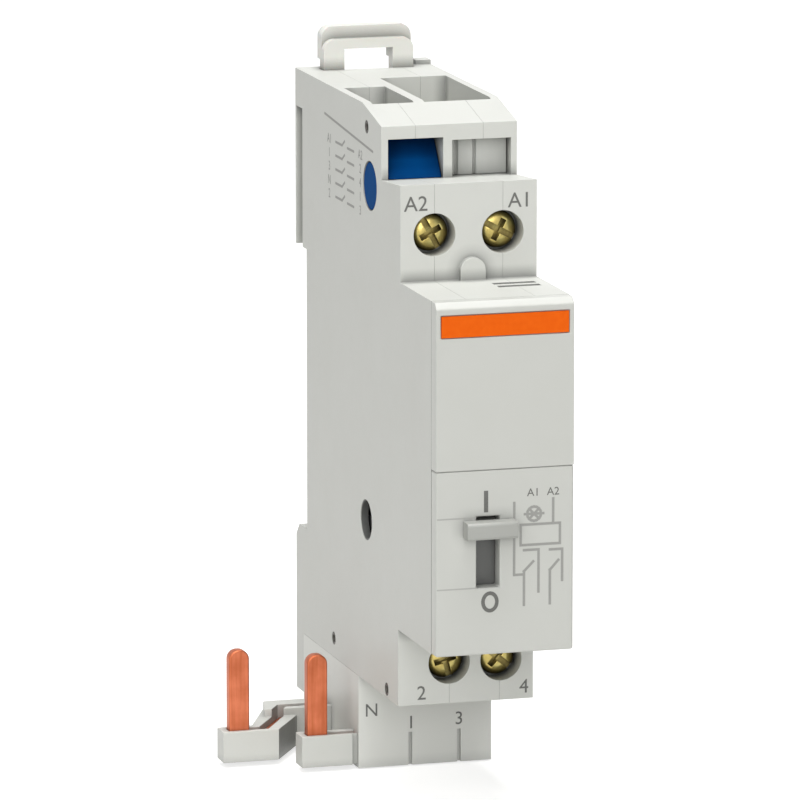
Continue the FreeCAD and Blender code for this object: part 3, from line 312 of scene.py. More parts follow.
# Natural nylon: creamy and slightly waxy, with light passing a little way in.
nylon, tree, place = begin("moulded_natural_nylon")
cloud = add(tree, "TexNoise", {"Vector": place, "Scale": 1 / FLOW_MARK, "Detail": 3.0})
tint = add(tree, "Mix", {0: cloud.outputs[0], 6: linear(NYLON), 7: linear(NYLON_SHADE)},
           data_type="RGBA")
shader = add(tree, "BsdfPrincipled", {"Base Color": tint.outputs[2], "Roughness": 0.4,
                                      "IOR": 1.53, "Subsurface Weight": 0.2,
                                      "Subsurface Scale": 0.001})
add(tree, "OutputMaterial", {"Surface": shader.outputs[0]})
wear(nylon, "rocker", "drive_arm")

# ---------------------------------------------------------------- copper
# The current paths are half-hard copper strip, stamped, with the shear marks left on:
# the bars of the terminals, the two prongs beside the base and the bars that join them.

COPPER = "#C67454"
COPPER_DARK = "#A45738"
BRUSH_LINE = 0.0005      # spacing of the brushed lines, drawn at 0.5 mm
BROWNING = 0.003         # width of a browned patch, 3 mm
STRIP_RADIUS = 0.0002

# Brushed copper: a salmon metal with upright streaks, brighter where the strip is freshly
# rubbed and darker where it has begun to brown.
copper, tree, place = begin("brushed_copper_strip")
upright = add(tree, "Mapping", {"Vector": place, "Scale": (1.0, 1.0, 0.05)})
lines = add(tree, "TexNoise", {"Vector": upright.outputs[0], "Scale": 1 / BRUSH_LINE,
                               "Detail": 4.0})
stain = add(tree, "TexNoise", {"Vector": place, "Scale": 1 / BROWNING, "Detail": 3.0})
age = add(tree, "Math", {0: lines.outputs[0], 1: stain.outputs[0]}, operation="MULTIPLY")
share = add(tree, "MapRange", {"Value": age.outputs[0], "From Min": 0.12, "From Max": 0.4})
tint = add(tree, "Mix", {0: share.outputs[0], 6: linear(COPPER_DARK), 7: linear(COPPER)},
           data_type="RGBA")
gloss = add(tree, "MapRange", {"Value": lines.outputs[0], "To Min": 0.35, "To Max": 0.6})
skin = add(tree, "Bump", {"Height": lines.outputs[0], "Strength": 0.35, "Distance": 0.00004})
shader = add(tree, "BsdfPrincipled", {"Base Color": tint.outputs[2], "Metallic": 1.0,
                                      "Roughness": gloss.outputs[0], "Normal": skin.outputs[0]})
add(tree, "OutputMaterial", {"Surface": shader.outputs[0]})

wear(copper, "prong_left", "prong_right", "riser_bar_left", "riser_bar_right",
     "contact_bar_2", "contact_bar_4", "contact_bridge_left", "contact_bridge_right",
     "coil_terminal_a1", "coil_terminal_a2", "coil_lead_a1", "coil_lead_a2")
round_edges(STRIP_RADIUS, "prong_left", "prong_right")

# ---------------------------------------------------------------- screw terminals
# Each terminal is a steel cage pulled up by a screw. Cage and screw are zinc plated and
# yellow passivated. The turned screws have a domed head with a combined slot and cross.

TERMINALS = ("a2", "a1", "2", "4")
HEAD_DOME = 0.00045
HEAD_HEIGHT = 0.0016
# the dome, as distances back from its crown and shares of the head's radius
DOME_CURVE = ((0.00002, 0.45), (0.00012, 0.75))
RIM_IN = 0.0001          # the dome meets the rim this far inside the head's full radius
RIM_BACK = 0.00012       # and this far before it
HEAD_EDGE = 0.00015      # chamfer under the head
SHANK_RADIUS = 0.00175
SHANK_SIDES = 48
RECESS_WIDTH = 0.0008
SLOT_DEPTH = 0.0009
SLOT_REACH = 1.1         # the slot runs out past the rim, as a share of the head's radius
CROSS_DEPTH = 0.0012
CROSS_REACH = 0.62       # the cross stops short of the rim
CUTTER_START = 0.001     # the cutters start this far in front of the head
RECESS_RADIUS = 0.00006
RECESS_SHARP = 40        # the screw's edges are rounded above this many degrees
THREAD_PITCH = 0.0006
THREAD_DEPTH = 0.00025
POINT_LENGTH = 0.0004    # the tip narrows over this length
POINT_DEPTH = 0.0006     # and by this much on the radius
CAGE_RADIUS = 0.0002
SLOT_TURN = {"a2": 62, "a1": 28, "2": 75, "4": 40}     # where each slot stopped, degrees
PASSIVATION = "#C9B671"
PASSIVATION_DARK = "#8D7E45"
PASSIVATION_GREEN = "#A7AC78"
# The passivation deepens to a painted shade in the narrow recesses of the head.
PASSIVATION_GAP_SHADE = "#3A3320"
PASSIVATION_GAP = 0.0009  # the head's hole is narrow, so its tone deepens over a short way
PLATING_PATCH = 0.0012   # width of a patch in the plating, 1.2 mm
RAINBOW_PATCH = 0.002    # width of a rainbow patch, 2 mm
TURNING_RING = 0.0005    # feed of the turning tool; 0.05 mm in truth, drawn at 0.5 mm to show

# Yellow passivation on zinc: brassy and slightly greenish, with thin rainbow patches, the
# fine rings of turning and painted shade in the narrow recesses of the head.
passivated, tree, place = begin("yellow_passivated_zinc")
patch = add(tree, "TexNoise", {"Vector": place, "Scale": 1 / PLATING_PATCH, "Detail": 3.0})
tint = add(tree, "Mix", {0: patch.outputs[0], 6: linear(PASSIVATION),
                         7: linear(PASSIVATION_DARK)}, data_type="RGBA")
film = add(tree, "TexNoise", {"Vector": place, "Scale": 1 / RAINBOW_PATCH, "W": 4.0},
           noise_dimensions="4D")
share = add(tree, "MapRange", {"Value": film.outputs[0], "From Min": 0.5, "From Max": 0.75,
                               "To Max": 0.6})
colour = add(tree, "Mix", {0: share.outputs[0], 6: tint.outputs[2],
                           7: linear(PASSIVATION_GREEN)}, data_type="RGBA")
plated = paint_gap_shade(tree, colour.outputs[2], PASSIVATION_GAP_SHADE, PASSIVATION_GAP)
rings = add(tree, "TexWave", {"Vector": place, "Scale": math.tau / TURNING_RING / WAVE_RATE},
            wave_type="RINGS", rings_direction="Y")
skin = add(tree, "Bump", {"Height": rings.outputs[0], "Strength": 0.15, "Distance": 0.00003})
gloss = add(tree, "MapRange", {"Value": patch.outputs[0], "To Min": 0.22, "To Max": 0.42})
shader = add(tree, "BsdfPrincipled", {"Base Color": plated, "Metallic": 1.0,
                                      "Roughness": gloss.outputs[0], "Normal": skin.outputs[0]})
add(tree, "OutputMaterial", {"Surface": shader.outputs[0]})


def part_from(name, form, material):
    """Turn a finished bmesh into an object of the scene."""
    mesh = bpy.data.meshes.new(name)
    form.to_mesh(mesh)
    form.free()
    part = bpy.data.objects.new(name, mesh)
    bpy.context.scene.collection.objects.link(part)
    mesh.materials.append(material)
    return part


def turned(profile, sides=SHANK_SIDES):
    """A bmesh turned about +y from pairs of a distance along y and a radius there.

    The first and the last pair lie on the axis.
    """
    form = bmesh.new()
    rows = []
    for along, radius in profile:
        if radius == 0:
            rows.append([form.verts.new((0, along, 0))] * sides)
            continue
        ring = []
        for step in range(sides):
            angle = math.tau * step / sides
            ring.append(form.verts.new((radius * math.cos(angle), along,
                                        radius * math.sin(angle))))
        rows.append(ring)
    for near, far in zip(rows, rows[1:]):
        for step in range(sides):
            after = (step + 1) % sides
            corners = []
            for vertex in (near[step], near[after], far[after], far[step]):
                if vertex not in corners:
                    corners.append(vertex)
            form.faces.new(corners)
    bmesh.ops.recalc_face_normals(form, faces=form.faces)
    return form


def slab(form, low, high, turn=None):
    """Add a closed box to a bmesh, turned about its own place if asked."""
    made = bmesh.ops.create_cube(form, size=1)["verts"]
    middle = (Vector(low) + Vector(high)) / 2
    size = Vector(high) - Vector(low)
    place = Matrix.Translation(middle) @ Matrix.Diagonal((*size, 1))
    bmesh.ops.transform(form, matrix=(turn or Matrix()) @ place, verts=made)


def carve(part, cutter):
    """Cut one object out of another for good, and drop the cutter."""
    cut = part.modifiers.new("cut", "BOOLEAN")
    cut.object = cutter
    cut.solver = "EXACT"
    bpy.context.view_layer.update()
    held = bpy.context.evaluated_depsgraph_get()
    finished = bpy.data.meshes.new_from_object(part.evaluated_get(held))
    part.modifiers.clear()
    part.data = finished
    bpy.data.objects.remove(cutter)


for terminal in TERMINALS:
    low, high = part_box("terminal_screw_" + terminal)
    head = (high.x - low.x) / 2
    length = high.y - low.y
    profile = [(0, 0)]
    profile += [(back, head * share) for back, share in DOME_CURVE]
    profile += [(HEAD_DOME, head - RIM_IN), (HEAD_DOME + RIM_BACK, head),
                (HEAD_HEIGHT - HEAD_EDGE, head), (HEAD_HEIGHT, head - HEAD_EDGE),
                (HEAD_HEIGHT, SHANK_RADIUS)]
    along = HEAD_HEIGHT + THREAD_PITCH
    while along < length - 2 * THREAD_PITCH:
        profile += [(along, SHANK_RADIUS),
                    (along + THREAD_PITCH / 2, SHANK_RADIUS - THREAD_DEPTH)]
        along += THREAD_PITCH
    profile += [(length - POINT_LENGTH, SHANK_RADIUS - THREAD_DEPTH),
                (length, SHANK_RADIUS - POINT_DEPTH), (length, 0)]
    screw = part_from("screw_" + terminal, turned(profile), passivated)
    turn = Matrix.Rotation(math.radians(SLOT_TURN[terminal]), 4, "Y")
    half = RECESS_WIDTH / 2
    for name, wide, tall, gap_shade in (("slot", head * SLOT_REACH, half, SLOT_DEPTH),
                                   ("cross", half, head * CROSS_REACH, CROSS_DEPTH)):
        recess = bmesh.new()
        slab(recess, (-wide, -CUTTER_START, -tall), (wide, gap_shade, tall), turn)
        carve(screw, part_from(name, recess, passivated))
    screw.location = ((low.x + high.x) / 2, low.y, (low.z + high.z) / 2)
    edge = screw.modifiers.new("edge", "BEVEL")
    edge.width = RECESS_RADIUS
    edge.segments = 2
    edge.limit_method = "ANGLE"
    edge.angle_limit = math.radians(RECESS_SHARP)
    for face in screw.data.polygons:
        face.use_smooth = True
    shade = screw.modifiers.new("shade", "WEIGHTED_NORMAL")
    shade.weight = FACE_WEIGHT
    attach(screw, "screw_" + terminal)
    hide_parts("terminal_screw_" + terminal)
    wear(passivated, "terminal_cage_" + terminal)
    round_edges(CAGE_RADIUS, "terminal_cage_" + terminal)

# ---------------------------------------------------------------- front covers and lever
# Two smooth covers close the nose and meet at mid-height. A mid-grey lever stands through
# the slot of the lower one, and a dark plate on it closes the slot behind.

COVER_RADIUS = 0.00025
LEVER_RADIUS = 0.00012
COVER = "#C8C9C4"
COVER_DULL = "#C4C5BF"
COVER_GAP_SHADE = "#A6A7A3"
LEVER = "#A9AAA5"
LEVER_DULL = "#A3A49F"
PLATE = "#626361"
PLATE_DULL = "#5A5B59"

# Polished-mould polyamide: the same grey, smoother, with a soft even sheen, and painted
# shade in narrow gaps.
cover, tree, place = begin("smooth_moulded_cover")
flow = add(tree, "TexNoise", {"Vector": place, "Scale": 1 / FLOW_MARK, "Detail": 2.0})
tint = add(tree, "Mix", {0: flow.outputs[0], 6: linear(COVER), 7: linear(COVER_DULL)},
           data_type="RGBA")
grain = add(tree, "TexNoise", {"Vector": place, "Scale": 1 / MOULD_GRAIN, "Detail": 2.0})
gloss = add(tree, "MapRange", {"Value": grain.outputs[0], "To Min": 0.34, "To Max": 0.44})
skin = add(tree, "Bump", {"Height": grain.outputs[0], "Strength": 0.1, "Distance": 0.00003})
shader = add(tree, "BsdfPrincipled", {"Base Color": paint_gap_shade(tree, tint.outputs[2], COVER_GAP_SHADE),
                                      "Roughness": gloss.outputs[0], "IOR": 1.53,
                                      "Normal": skin.outputs[0]})
add(tree, "OutputMaterial", {"Surface": shader.outputs[0]})

wear(cover, "front_cover_upper", "front_cover_lower")
round_edges(COVER_RADIUS, "front_cover_upper", "front_cover_lower")

# Lever and plate: mid grey and dark grey polyamide, matt, with the same eroded grain.
for name, light, dull, node in (
        ("moulded_mid_grey_polyamide", LEVER, LEVER_DULL, "switch_lever"),
        ("moulded_dark_grey_polyamide", PLATE, PLATE_DULL, "lever_plate")):
    tinted, tree, place = begin(name)
    flow = add(tree, "TexNoise", {"Vector": place, "Scale": 1 / FLOW_MARK, "Detail": 2.0})
    tint = add(tree, "Mix", {0: flow.outputs[0], 6: linear(light), 7: linear(dull)},
               data_type="RGBA")
    grain = add(tree, "TexNoise", {"Vector": place, "Scale": 1 / MOULD_GRAIN, "Detail": 2.0})
    skin = add(tree, "Bump", {"Height": grain.outputs[0], "Strength": 0.15, "Distance": 0.00003})
    shader = add(tree, "BsdfPrincipled", {"Base Color": tint.outputs[2], "Roughness": 0.45,
                                          "IOR": 1.53, "Normal": skin.outputs[0]})
    add(tree, "OutputMaterial", {"Surface": shader.outputs[0]})
    wear(tinted, node)
    round_edges(LEVER_RADIUS, node)
dark_polyamide = tinted

# ---------------------------------------------------------------- coupling sleeve
# A thin sleeve of the same dark grey polyamide as the lever's plate lines the round hole low
# in the left side, through which the peg of an auxiliary block reaches the contact carrier.
# Its dark grey is painted shade on the hole's wall.

SLEEVE_RADIUS = 0.0026
SLEEVE_WALL = 0.00012
SLEEVE_AXIS = (-0.0286, -0.0111)        # y and z of the hole's axis
SLEEVE_SUNK = 0.0001
SLEEVE_LENGTH = 0.0009
SLEEVE_SIDES = 64

inside = SLEEVE_RADIUS - SLEEVE_WALL
sleeve_form = bmesh.new()
loops = []
for depth, radius in ((0, SLEEVE_RADIUS), (SLEEVE_LENGTH, SLEEVE_RADIUS),
                      (SLEEVE_LENGTH, inside), (0, inside)):
    ring = []
    for step in range(SLEEVE_SIDES):
        angle = math.tau * step / SLEEVE_SIDES
        ring.append(sleeve_form.verts.new((depth, radius * math.cos(angle),
                                           radius * math.sin(angle))))
    loops.append(ring)
for near, far in zip(loops, loops[1:] + loops[:1]):
    for step in range(SLEEVE_SIDES):
        after = (step + 1) % SLEEVE_SIDES
        sleeve_form.faces.new((near[step], near[after], far[after], far[step]))
bmesh.ops.recalc_face_normals(sleeve_form, faces=sleeve_form.faces)
sleeve = part_from("coupling_sleeve", sleeve_form, dark_polyamide)
sleeve.location = (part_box("case_left")[0].x + SLEEVE_SUNK, *SLEEVE_AXIS)
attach(sleeve, "case")

# ---------------------------------------------------------------- marking strip
# The strip is a bare film, printed orange all over and varnished matt. It is stuck into a
# shallow bed of the upper cover.

ORANGE = "#F26A12"
ORANGE_DEEP = "#E85C06"
INK_MOTTLE = 0.0008      # width of the mottle in the ink, 0.8 mm
FILM_WAVE = 0.002        # width of the film's own waves, 2 mm

# Printed film: a strong flat orange with a little mottle of ink, under matt varnish.
film_ink, tree, place = begin("orange_printed_film")
mottle = add(tree, "TexNoise", {"Vector": place, "Scale": 1 / INK_MOTTLE, "Detail": 3.0})
tint = add(tree, "Mix", {0: mottle.outputs[0], 6: linear(ORANGE), 7: linear(ORANGE_DEEP)},
           data_type="RGBA")
wave = add(tree, "TexNoise", {"Vector": place, "Scale": 1 / FILM_WAVE})
skin = add(tree, "Bump", {"Height": wave.outputs[0], "Strength": 0.15, "Distance": 0.00005})
shader = add(tree, "BsdfPrincipled", {"Base Color": tint.outputs[2], "Roughness": 0.6,
                                      "Specular IOR Level": 0.08, "Normal": skin.outputs[0]})
add(tree, "OutputMaterial", {"Surface": shader.outputs[0]})
wear(film_ink, "marking_strip")

# ---------------------------------------------------------------- window inserts
# Two snap-in inserts fill the windows above the terminals: a sloping blue one, whose round
# boss shows in the left side, and a flat grey one with two grooves.

BLUE = "#004A8A"
BLUE_DULL = "#00407C"
BLUE_GAP_SHADE = "#001C40"
GREY_INSERT = "#D4D5D1"
GREY_INSERT_DULL = "#CBCCC8"
GREY_INSERT_GAP_SHADE = "#9A9B97"
INSERT_SHADE = 0.003     # the inserts darken this far out from the window's edge
ABS_FLOW = 0.004         # width of the clouds in the smaller mouldings, 4 mm

# Moulded ABS: even in colour and nearly matt, with hardly any shine at a low angle; painted
# shade darkens it near the window's edge.
for name, light, dull, gap_shade, node in (
        ("moulded_blue_abs", BLUE, BLUE_DULL, BLUE_GAP_SHADE, "blue_marker"),
        ("moulded_grey_abs", GREY_INSERT, GREY_INSERT_DULL, GREY_INSERT_GAP_SHADE, "grey_marker")):
    abs_plastic, tree, place = begin(name)
    flow = add(tree, "TexNoise", {"Vector": place, "Scale": 1 / ABS_FLOW, "Detail": 2.0})
    tint = add(tree, "Mix", {0: flow.outputs[0], 6: linear(light), 7: linear(dull)},
               data_type="RGBA")
    grain = add(tree, "TexNoise", {"Vector": place, "Scale": 1 / MOULD_GRAIN, "Detail": 2.0})
    skin = add(tree, "Bump", {"Height": grain.outputs[0], "Strength": 0.12, "Distance": 0.00003})
    colour_with_shade = paint_gap_shade(tree, tint.outputs[2], gap_shade, INSERT_SHADE)
    shader = add(tree, "BsdfPrincipled", {"Base Color": colour_with_shade, "Roughness": 0.6,
                                          "Specular IOR Level": 0.03,
                                          "Normal": skin.outputs[0]})
    add(tree, "OutputMaterial", {"Surface": shader.outputs[0]})
    wear(abs_plastic, node)
    round_edges(MOULD_RADIUS, node)

# ---------------------------------------------------------------- rail clip
# The clip that hooks under the rail is a sliding bar of natural acetal with an eye for a
# screwdriver. A wound spring in its pocket presses it home.

CLIP_RADIUS = 0.0003
ACETAL = "#E3E3DD"
ACETAL_SHADE = "#DADAD3"
ACETAL_GAP_SHADE = "#6E6E68"
ACETAL_FLOW = 0.005      # width of the clouds in the acetal, 5 mm

# Natural acetal: off-white, smooth and slightly waxy, a little translucent at its edges,
# with painted shade in narrow gaps.
acetal, tree, place = begin("moulded_acetal")
flow = add(tree, "TexNoise", {"Vector": place, "Scale": 1 / ACETAL_FLOW, "Detail": 2.0})
tint = add(tree, "Mix", {0: flow.outputs[0], 6: linear(ACETAL), 7: linear(ACETAL_SHADE)},
           data_type="RGBA")
grain = add(tree, "TexNoise", {"Vector": place, "Scale": 1 / MOULD_GRAIN, "Detail": 2.0})
skin = add(tree, "Bump", {"Height": grain.outputs[0], "Strength": 0.1, "Distance": 0.00003})
colour_with_shade = paint_gap_shade(tree, tint.outputs[2], ACETAL_GAP_SHADE)
shader = add(tree, "BsdfPrincipled", {"Base Color": colour_with_shade, "Roughness": 0.36,
                                      "IOR": 1.48, "Subsurface Weight": 0.1,
                                      "Subsurface Scale": 0.001, "Normal": skin.outputs[0]})
add(tree, "OutputMaterial", {"Surface": shader.outputs[0]})
wear(acetal, "din_clip")
round_edges(CLIP_RADIUS, "din_clip")

# The spring of the clip has a closed turn at each end.
CLIP_WIRE = 0.0004
CLIP_TURNS = 10
END_TURNS = 2
TURN_STEPS = 24
WIRE_SIDES = 10

low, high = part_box("clip_spring")
coil_radius = (high.x - low.x - CLIP_WIRE) / 2
coil_length = high.z - low.z
open_pitch = (coil_length - (END_TURNS + 1) * CLIP_WIRE) / (CLIP_TURNS - END_TURNS)
spring_form = bmesh.new()
wire_angles = [math.tau * side / WIRE_SIDES for side in range(WIRE_SIDES)]
loops = []
height = low.z + CLIP_WIRE / 2
for step in range(CLIP_TURNS * TURN_STEPS + 1):
    angle = math.tau * step / TURN_STEPS
    outward = Vector((math.cos(angle), math.sin(angle), 0))
    centre = Vector(((low.x + high.x) / 2, (low.y + high.y) / 2, height)) + outward * coil_radius
    ring = []
    for around in wire_angles:
        away = outward * math.cos(around) + Vector((0, 0, math.sin(around)))
        ring.append(spring_form.verts.new(centre + CLIP_WIRE / 2 * away))
    loops.append(ring)
    closed = step < TURN_STEPS or step >= (CLIP_TURNS - 1) * TURN_STEPS
    height += (CLIP_WIRE if closed else open_pitch) / TURN_STEPS
for near, far in zip(loops, loops[1:]):
    for side in range(WIRE_SIDES):
        after = (side + 1) % WIRE_SIDES
        spring_form.faces.new((near[side], near[after], far[after], far[side]))
spring_form.faces.new(loops[0])
spring_form.faces.new(loops[-1])
bmesh.ops.recalc_face_normals(spring_form, faces=spring_form.faces)
clip_coil = part_from("clip_coil", spring_form, spring_steel)
for face in clip_coil.data.polygons:
    face.use_smooth = len(face.vertices) == 4
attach(clip_coil, "case")
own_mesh(clip_coil)
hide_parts("clip_spring")

# ---------------------------------------------------------------- prong block
# A block under the case guides the two copper prongs, each in its own moulded carrier
# beside the left side. Block and carriers are of the case's polyamide.

CARRIER_RADIUS = 0.00009

wear(polyamide_block, "comb_block", "comb_cover")
wear(polyamide_small, "prong_carrier_left", "prong_carrier_right")
round_edges(CARRIER_RADIUS, "prong_carrier_left", "prong_carrier_right")

# ---------------------------------------------------------------- marks
# Terminal numbers, the I and O of the lever, a plain circuit diagram and, on the left side, a
# plain wiring plan are pad printed in grey ink, about a hundredth of a millimetre thick.

INK = "#5C5C59"
INK_THIN = "#6E6E6A"
PALE_INK = "#949490"
PALE_INK_THIN = "#A0A09C"
FAINT_INK = "#A8A8A4"
FAINT_INK_THIN = "#B0B0AC"
INK_THICKNESS = 0.000012
INK_LAYER = 0.0000002    # each stroke lies this much above the one it crosses
INK_SPECK = 0.0003       # width of the thin specks in the ink, 0.3 mm
CAPITAL = 0.7            # height of a capital letter as a share of the type size
MM = 0.001

# Pad-printing ink: dark grey for the words, mid grey for the diagrams and a shade off the
# case for the faint lines; matt, thinner and paler in specks.
inks = []
for name, full, thin in (("pad_printed_ink", INK, INK_THIN),
                         ("pad_printed_pale_ink", PALE_INK, PALE_INK_THIN),
                         ("pad_printed_faint_ink", FAINT_INK, FAINT_INK_THIN)):
    printed, tree, place = begin(name)
    specks = add(tree, "TexNoise", {"Vector": place, "Scale": 1 / INK_SPECK, "Detail": 2.0})
    tint = add(tree, "Mix", {0: specks.outputs[0], 6: linear(full), 7: linear(thin)},
               data_type="RGBA")
    shader = add(tree, "BsdfPrincipled", {"Base Color": tint.outputs[2], "Roughness": 0.6})
    add(tree, "OutputMaterial", {"Surface": shader.outputs[0]})
    inks.append(printed)
ink, pale_ink, faint_ink = inks


def touch(name, start, heading):
    """Where a straight line first meets a CAD node."""
    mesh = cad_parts[name].data
    corners = [vertex.co for vertex in mesh.vertices]
    surface = BVHTree.FromPolygons(corners, [face.vertices for face in mesh.polygons])
    return surface.ray_cast(Vector(start), Vector(heading))[0]


def print_text(name, words, spot, facing, height, colour):
    """Print a word on a face, centred on a spot just above the surface."""
    letters = bpy.data.curves.new(name, "FONT")
    letters.body = words
    letters.align_x = "CENTER"
    letters.align_y = "CENTER"
    letters.size = height / CAPITAL
    held = bpy.data.objects.new(name, letters)
    bpy.context.scene.collection.objects.link(held)
    bpy.context.view_layer.update()
    flat = held.evaluated_get(bpy.context.evaluated_depsgraph_get())
    mesh = bpy.data.meshes.new_from_object(flat)
    bpy.data.objects.remove(held)
    mesh.materials.clear()
    mesh.materials.append(colour)
    mark = bpy.data.objects.new(name, mesh)
    bpy.context.scene.collection.objects.link(mark)
    mark.matrix_world = Matrix.Translation(spot) @ facing
    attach(mark, "case")


# Faces that carry print, as the way the writing runs, its up and the way it looks.
FRONT = Matrix(((1, 0, 0, 0), (0, 0, -1, 0), (0, 1, 0, 0), (0, 0, 0, 1)))
LEFT_SIDE = Matrix(((0, 0, -1, 0), (-1, 0, 0, 0), (0, 1, 0, 0), (0, 0, 0, 1)))

WELL_IN_FRONT = -0.1     # the y from which the face under a word is looked for
# word, node under it, x and z of its middle and its height, in millimetres
FRONT_WORDS = (
    ("A2", "case_left", -6.94, 32.36, 1.9),
    ("A1", "case_right", 6.74, 32.29, 1.9),
    ("2", "case_left", -5.89, -31.04, 1.8),
    ("4", "case_right", 7.78, -30.99, 1.8),
    ("N", "comb_block", -7.25, -37.25, 1.7),
    ("1", "comb_block", -1.9, -39.2, 1.7),
    ("3", "comb_block", 4.6, -39.05, 1.7),
)
for word, node, x, z, height in FRONT_WORDS:
    spot = touch(node, (x * MM, WELL_IN_FRONT, z * MM), (0, 1, 0))
    spot.y -= INK_THICKNESS
    print_text("mark_" + word, word, spot, FRONT, height * MM, ink)


def print_lines(name, strokes, width, spot, facing, colour):
    """Print straight strokes, each a row of points, as flat ribbons of one width."""
    form = bmesh.new()
    layer = 0
    for stroke in strokes:
        for start, end in zip(stroke, stroke[1:]):
            start, end = Vector(start) * MM, Vector(end) * MM
            ahead = (end - start).normalized() * width / 2
            aside = Vector((-ahead.y, ahead.x))
            corners = (start - ahead - aside, end + ahead - aside,
                       end + ahead + aside, start - ahead + aside)
            form.faces.new([form.verts.new((*corner, layer)) for corner in corners])
            layer += INK_LAYER
    mark = part_from(name, form, colour)
    mark.matrix_world = Matrix.Translation(spot) @ facing
    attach(mark, "case")


def oval(middle, half_width, half_height, steps):
    """The points of an oval, in millimetres, with the first one again at the end."""
    points = []
    for step in range(steps + 1):
        angle = math.tau * step / steps
        points.append((middle[0] + half_width * math.cos(angle),
                       middle[1] + half_height * math.sin(angle)))
    return points


# The two places of the lever, as a bold I above its slot and a bold O below. Points are x
# and z in millimetres.
I_WIDTH = 0.00055
O_WIDTH = 0.00045
I_STROKE = [(-2.49, -1.8), (-2.49, -4.0)]
O_STROKE = oval((-1.96, -15.76), 0.9, 1.1, 32)
face = Vector((0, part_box("front_cover_lower")[0].y - INK_THICKNESS, 0))
print_lines("mark_I", [I_STROKE], I_WIDTH, face, FRONT, ink)
print_lines("mark_O", [O_STROKE], O_WIDTH, face, FRONT, ink)

# A plain circuit: push-button and lamp over a coil, two normally open contacts below it.
CIRCUIT_WIDTH = 0.00032
CIRCUIT_WORD_HEIGHT = 1.0
CIRCUIT_WORD_LINE = -2.1
CIRCUIT = [
    [(1.2, -3.3), (1.2, -12.5), (2.4, -12.5)],
    [(2.05, -6.15), (7.2, -6.15), (7.2, -8.75), (2.05, -8.75), (2.05, -6.15)],
    [(2.6, -4.8), (5.0, -4.8)],
    [(3.2, -4.2), (4.4, -5.4)],
    [(3.2, -5.4), (4.4, -4.2)],
    oval((3.8, -4.8), 0.9, 0.9, 16),
    [(6.3, -3.0), (6.3, -6.15)],
    [(2.5, -16.4), (2.5, -12.1), (3.7, -10.9)],
    [(2.5, -9.4), (4.4, -9.4), (4.4, -14.8)],
    [(5.9, -16.4), (5.9, -12.1), (7.0, -10.9)],
    [(5.9, -9.5), (7.5, -9.5), (7.5, -13.5)],
]
print_lines("mark_circuit", CIRCUIT, CIRCUIT_WIDTH, face, FRONT, pale_ink)

# Fine parting lines beside the slot, where the lever's guide meets the cover.
GUIDE_WIDTH = 0.00016
GUIDE_LINES = [[(-8.8, -4.9), (-3.9, -4.9)], [(-8.8, -13.9), (-3.9, -13.9)]]
print_lines("mark_guide", GUIDE_LINES, GUIDE_WIDTH, face, FRONT, faint_ink)
for word, x in (("a1", 3.7), ("a2", 6.3)):
    spot = Vector((x * MM, face.y, CIRCUIT_WORD_LINE * MM))
    print_text("mark_circuit_" + word, word.upper(), spot, FRONT, CIRCUIT_WORD_HEIGHT * MM, ink)

# A plain wiring plan on the left side: a supply line over rows of two terminal numbers, with
# an open contact drawn between them. Lengths are in millimetres, from the rail seat forward
# and from the rail's axis up.
PLAN_WIDTH = 0.0003
PLAN_WORD_HEIGHT = 1.2
SUPPLY_LINE = [(9.3, 39.0), (31.8, 37.3)]
PLAN_COLUMNS = (11.5, 26.0)
PLAN_ROWS = ((36.0, "A1", "A2"), (34.2, "1", "2"), (32.4, "3", "4"),
             (30.6, "N", "1"), (28.8, "2", "3"))
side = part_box("case_left")[0].x - INK_THICKNESS
plan = [SUPPLY_LINE]
for z, *words in PLAN_ROWS:
    plan += [[(14.5, z), (17.5, z), (18.7, z + 0.7)], [(20.0, z), (23.0, z)]]
    for word, forward in zip(words, PLAN_COLUMNS):
        print_text("mark_side_%s_%d" % (word, z), word, Vector((side, -forward * MM, z * MM)),
                   LEFT_SIDE, PLAN_WORD_HEIGHT * MM, pale_ink)
print_lines("mark_side_plan", plan, PLAN_WIDTH, Vector((side, 0, 0)), LEFT_SIDE, pale_ink)

# ---------------------------------------------------------------- room
# A pale floor under soft studio lamps: one overhead, a weak one in front and a large soft
# box up in front on the left. The background is plain white.

FLOOR = "#CFCFCD"
FLOOR_GRAIN = "#CACAC8"
FLOOR_SPECK = 0.004      # width of the specks in the paint, 4 mm
FLOOR_HALF = 6           # half the side of the floor, 6 m
FLOOR_GAP = 0.0002       # the floor lies this far under the relay
FLOOR_LIFT = 0.68        # what the camera sees added to the paint, so that it reads as white
FILL = 0.09              # soft light from all round

# Matt paint: an even off-white with faint specks. The camera and gloss see it lifted to
# white, and it keeps the relay's shadow.
painted, tree, place = begin("matt_white_paint")
speck = add(tree, "TexNoise", {"Vector": place, "Scale": 1 / FLOOR_SPECK, "Detail": 3.0})
tint = add(tree, "Mix", {0: speck.outputs[0], 6: linear(FLOOR), 7: linear(FLOOR_GRAIN)},
           data_type="RGBA")
matt = add(tree, "BsdfPrincipled", {"Base Color": tint.outputs[2], "Roughness": 0.8})
rays = add(tree, "LightPath")
seen = add(tree, "Math", {0: rays.outputs["Is Camera Ray"], 1: rays.outputs["Is Glossy Ray"]},
           operation="MAXIMUM")
lift = add(tree, "Emission", {"Color": (1, 1, 1, 1), "Strength": FLOOR_LIFT})
none = add(tree, "Emission", {"Color": (1, 1, 1, 1), "Strength": 0.0})
chosen = add(tree, "MixShader", {0: seen.outputs[0], 1: none.outputs[0], 2: lift.outputs[0]})
both = add(tree, "AddShader", {0: matt.outputs[0], 1: chosen.outputs[0]})
add(tree, "OutputMaterial", {"Surface": both.outputs[0]})

form = bmesh.new()
bmesh.ops.create_grid(form, x_segments=1, y_segments=1, size=FLOOR_HALF)
floor = part_from("floor", form, painted)
floor.location.z = cad_box[0].z - FLOOR_GAP

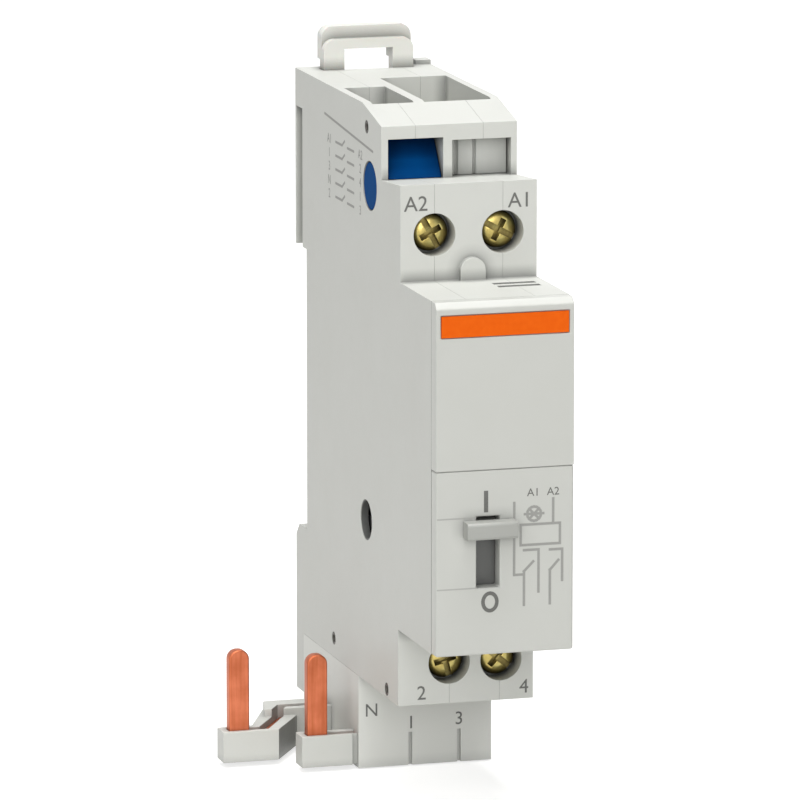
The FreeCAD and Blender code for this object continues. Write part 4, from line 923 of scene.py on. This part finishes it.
# The sky is plain white to the camera, to gloss and through glass, and weak as a light.
world = bpy.data.worlds.new("studio")
bpy.context.scene.world = world
world.use_nodes = True
tree = world.node_tree
tree.nodes.clear()
rays = add(tree, "LightPath")
seen = add(tree, "Math", {0: rays.outputs["Is Camera Ray"], 1: rays.outputs["Is Glossy Ray"]},
           operation="MAXIMUM")
through = add(tree, "Math", {0: seen.outputs[0], 1: rays.outputs["Is Transmission Ray"]},
              operation="MAXIMUM")
white = add(tree, "Background", {"Color": (1, 1, 1, 1), "Strength": 1.0})
fill = add(tree, "Background", {"Color": (1, 1, 1, 1), "Strength": FILL})
sky = add(tree, "MixShader", {0: through.outputs[0], 1: fill.outputs[0], 2: white.outputs[0]})
add(tree, "OutputWorld", {"Surface": sky.outputs[0]})


def lamp(name, place, size, power):
    """A square soft box aimed at the middle of the relay."""
    light = bpy.data.lights.new(name, "AREA")
    light.shape = "SQUARE"
    light.size = size
    light.energy = power
    held = bpy.data.objects.new(name, light)
    bpy.context.scene.collection.objects.link(held)
    held.location = place
    held.rotation_euler = (-Vector(place)).to_track_quat("-Z", "Y").to_euler()


# name, place and side in metres, power in watts
lamp("overhead", (0.0, -0.1, 1.0), 0.5, 9.1)
lamp("front", (-0.1, -1.2, 0.25), 0.5, 2.6)
lamp("upper_left", (-0.56, -0.83, 0.7), 1.4, 10.0)

# ---------------------------------------------------------------- camera
# A long lens a little above and to the left of the front, level with the horizon. It looks
# just beside the frame's origin, so that the whole relay stands in the middle of the view.

AZIMUTH = math.radians(-16.08)
ELEVATION = math.radians(10.72)
DISTANCE = 1.029
LENS = 350.08
AIM_RIGHT = 0.003746
AIM_DOWN = 0.0011
back = Vector((math.sin(AZIMUTH) * math.cos(ELEVATION),
               -math.cos(AZIMUTH) * math.cos(ELEVATION), math.sin(ELEVATION)))
right = Vector((math.cos(AZIMUTH), math.sin(AZIMUTH), 0))
up = back.cross(right)
target = right * AIM_RIGHT - up * AIM_DOWN

optics = bpy.data.cameras.new("camera")
optics.lens = LENS
optics.sensor_width = 36
optics.clip_start = 0.01
optics.clip_end = 50
camera = bpy.data.objects.new("camera", optics)
bpy.context.scene.collection.objects.link(camera)
camera.location = back * DISTANCE
camera.rotation_euler = (target - camera.location).to_track_quat("-Z", "Y").to_euler()
bpy.context.scene.camera = camera
bpy.context.scene.view_settings.view_transform = "Standard"
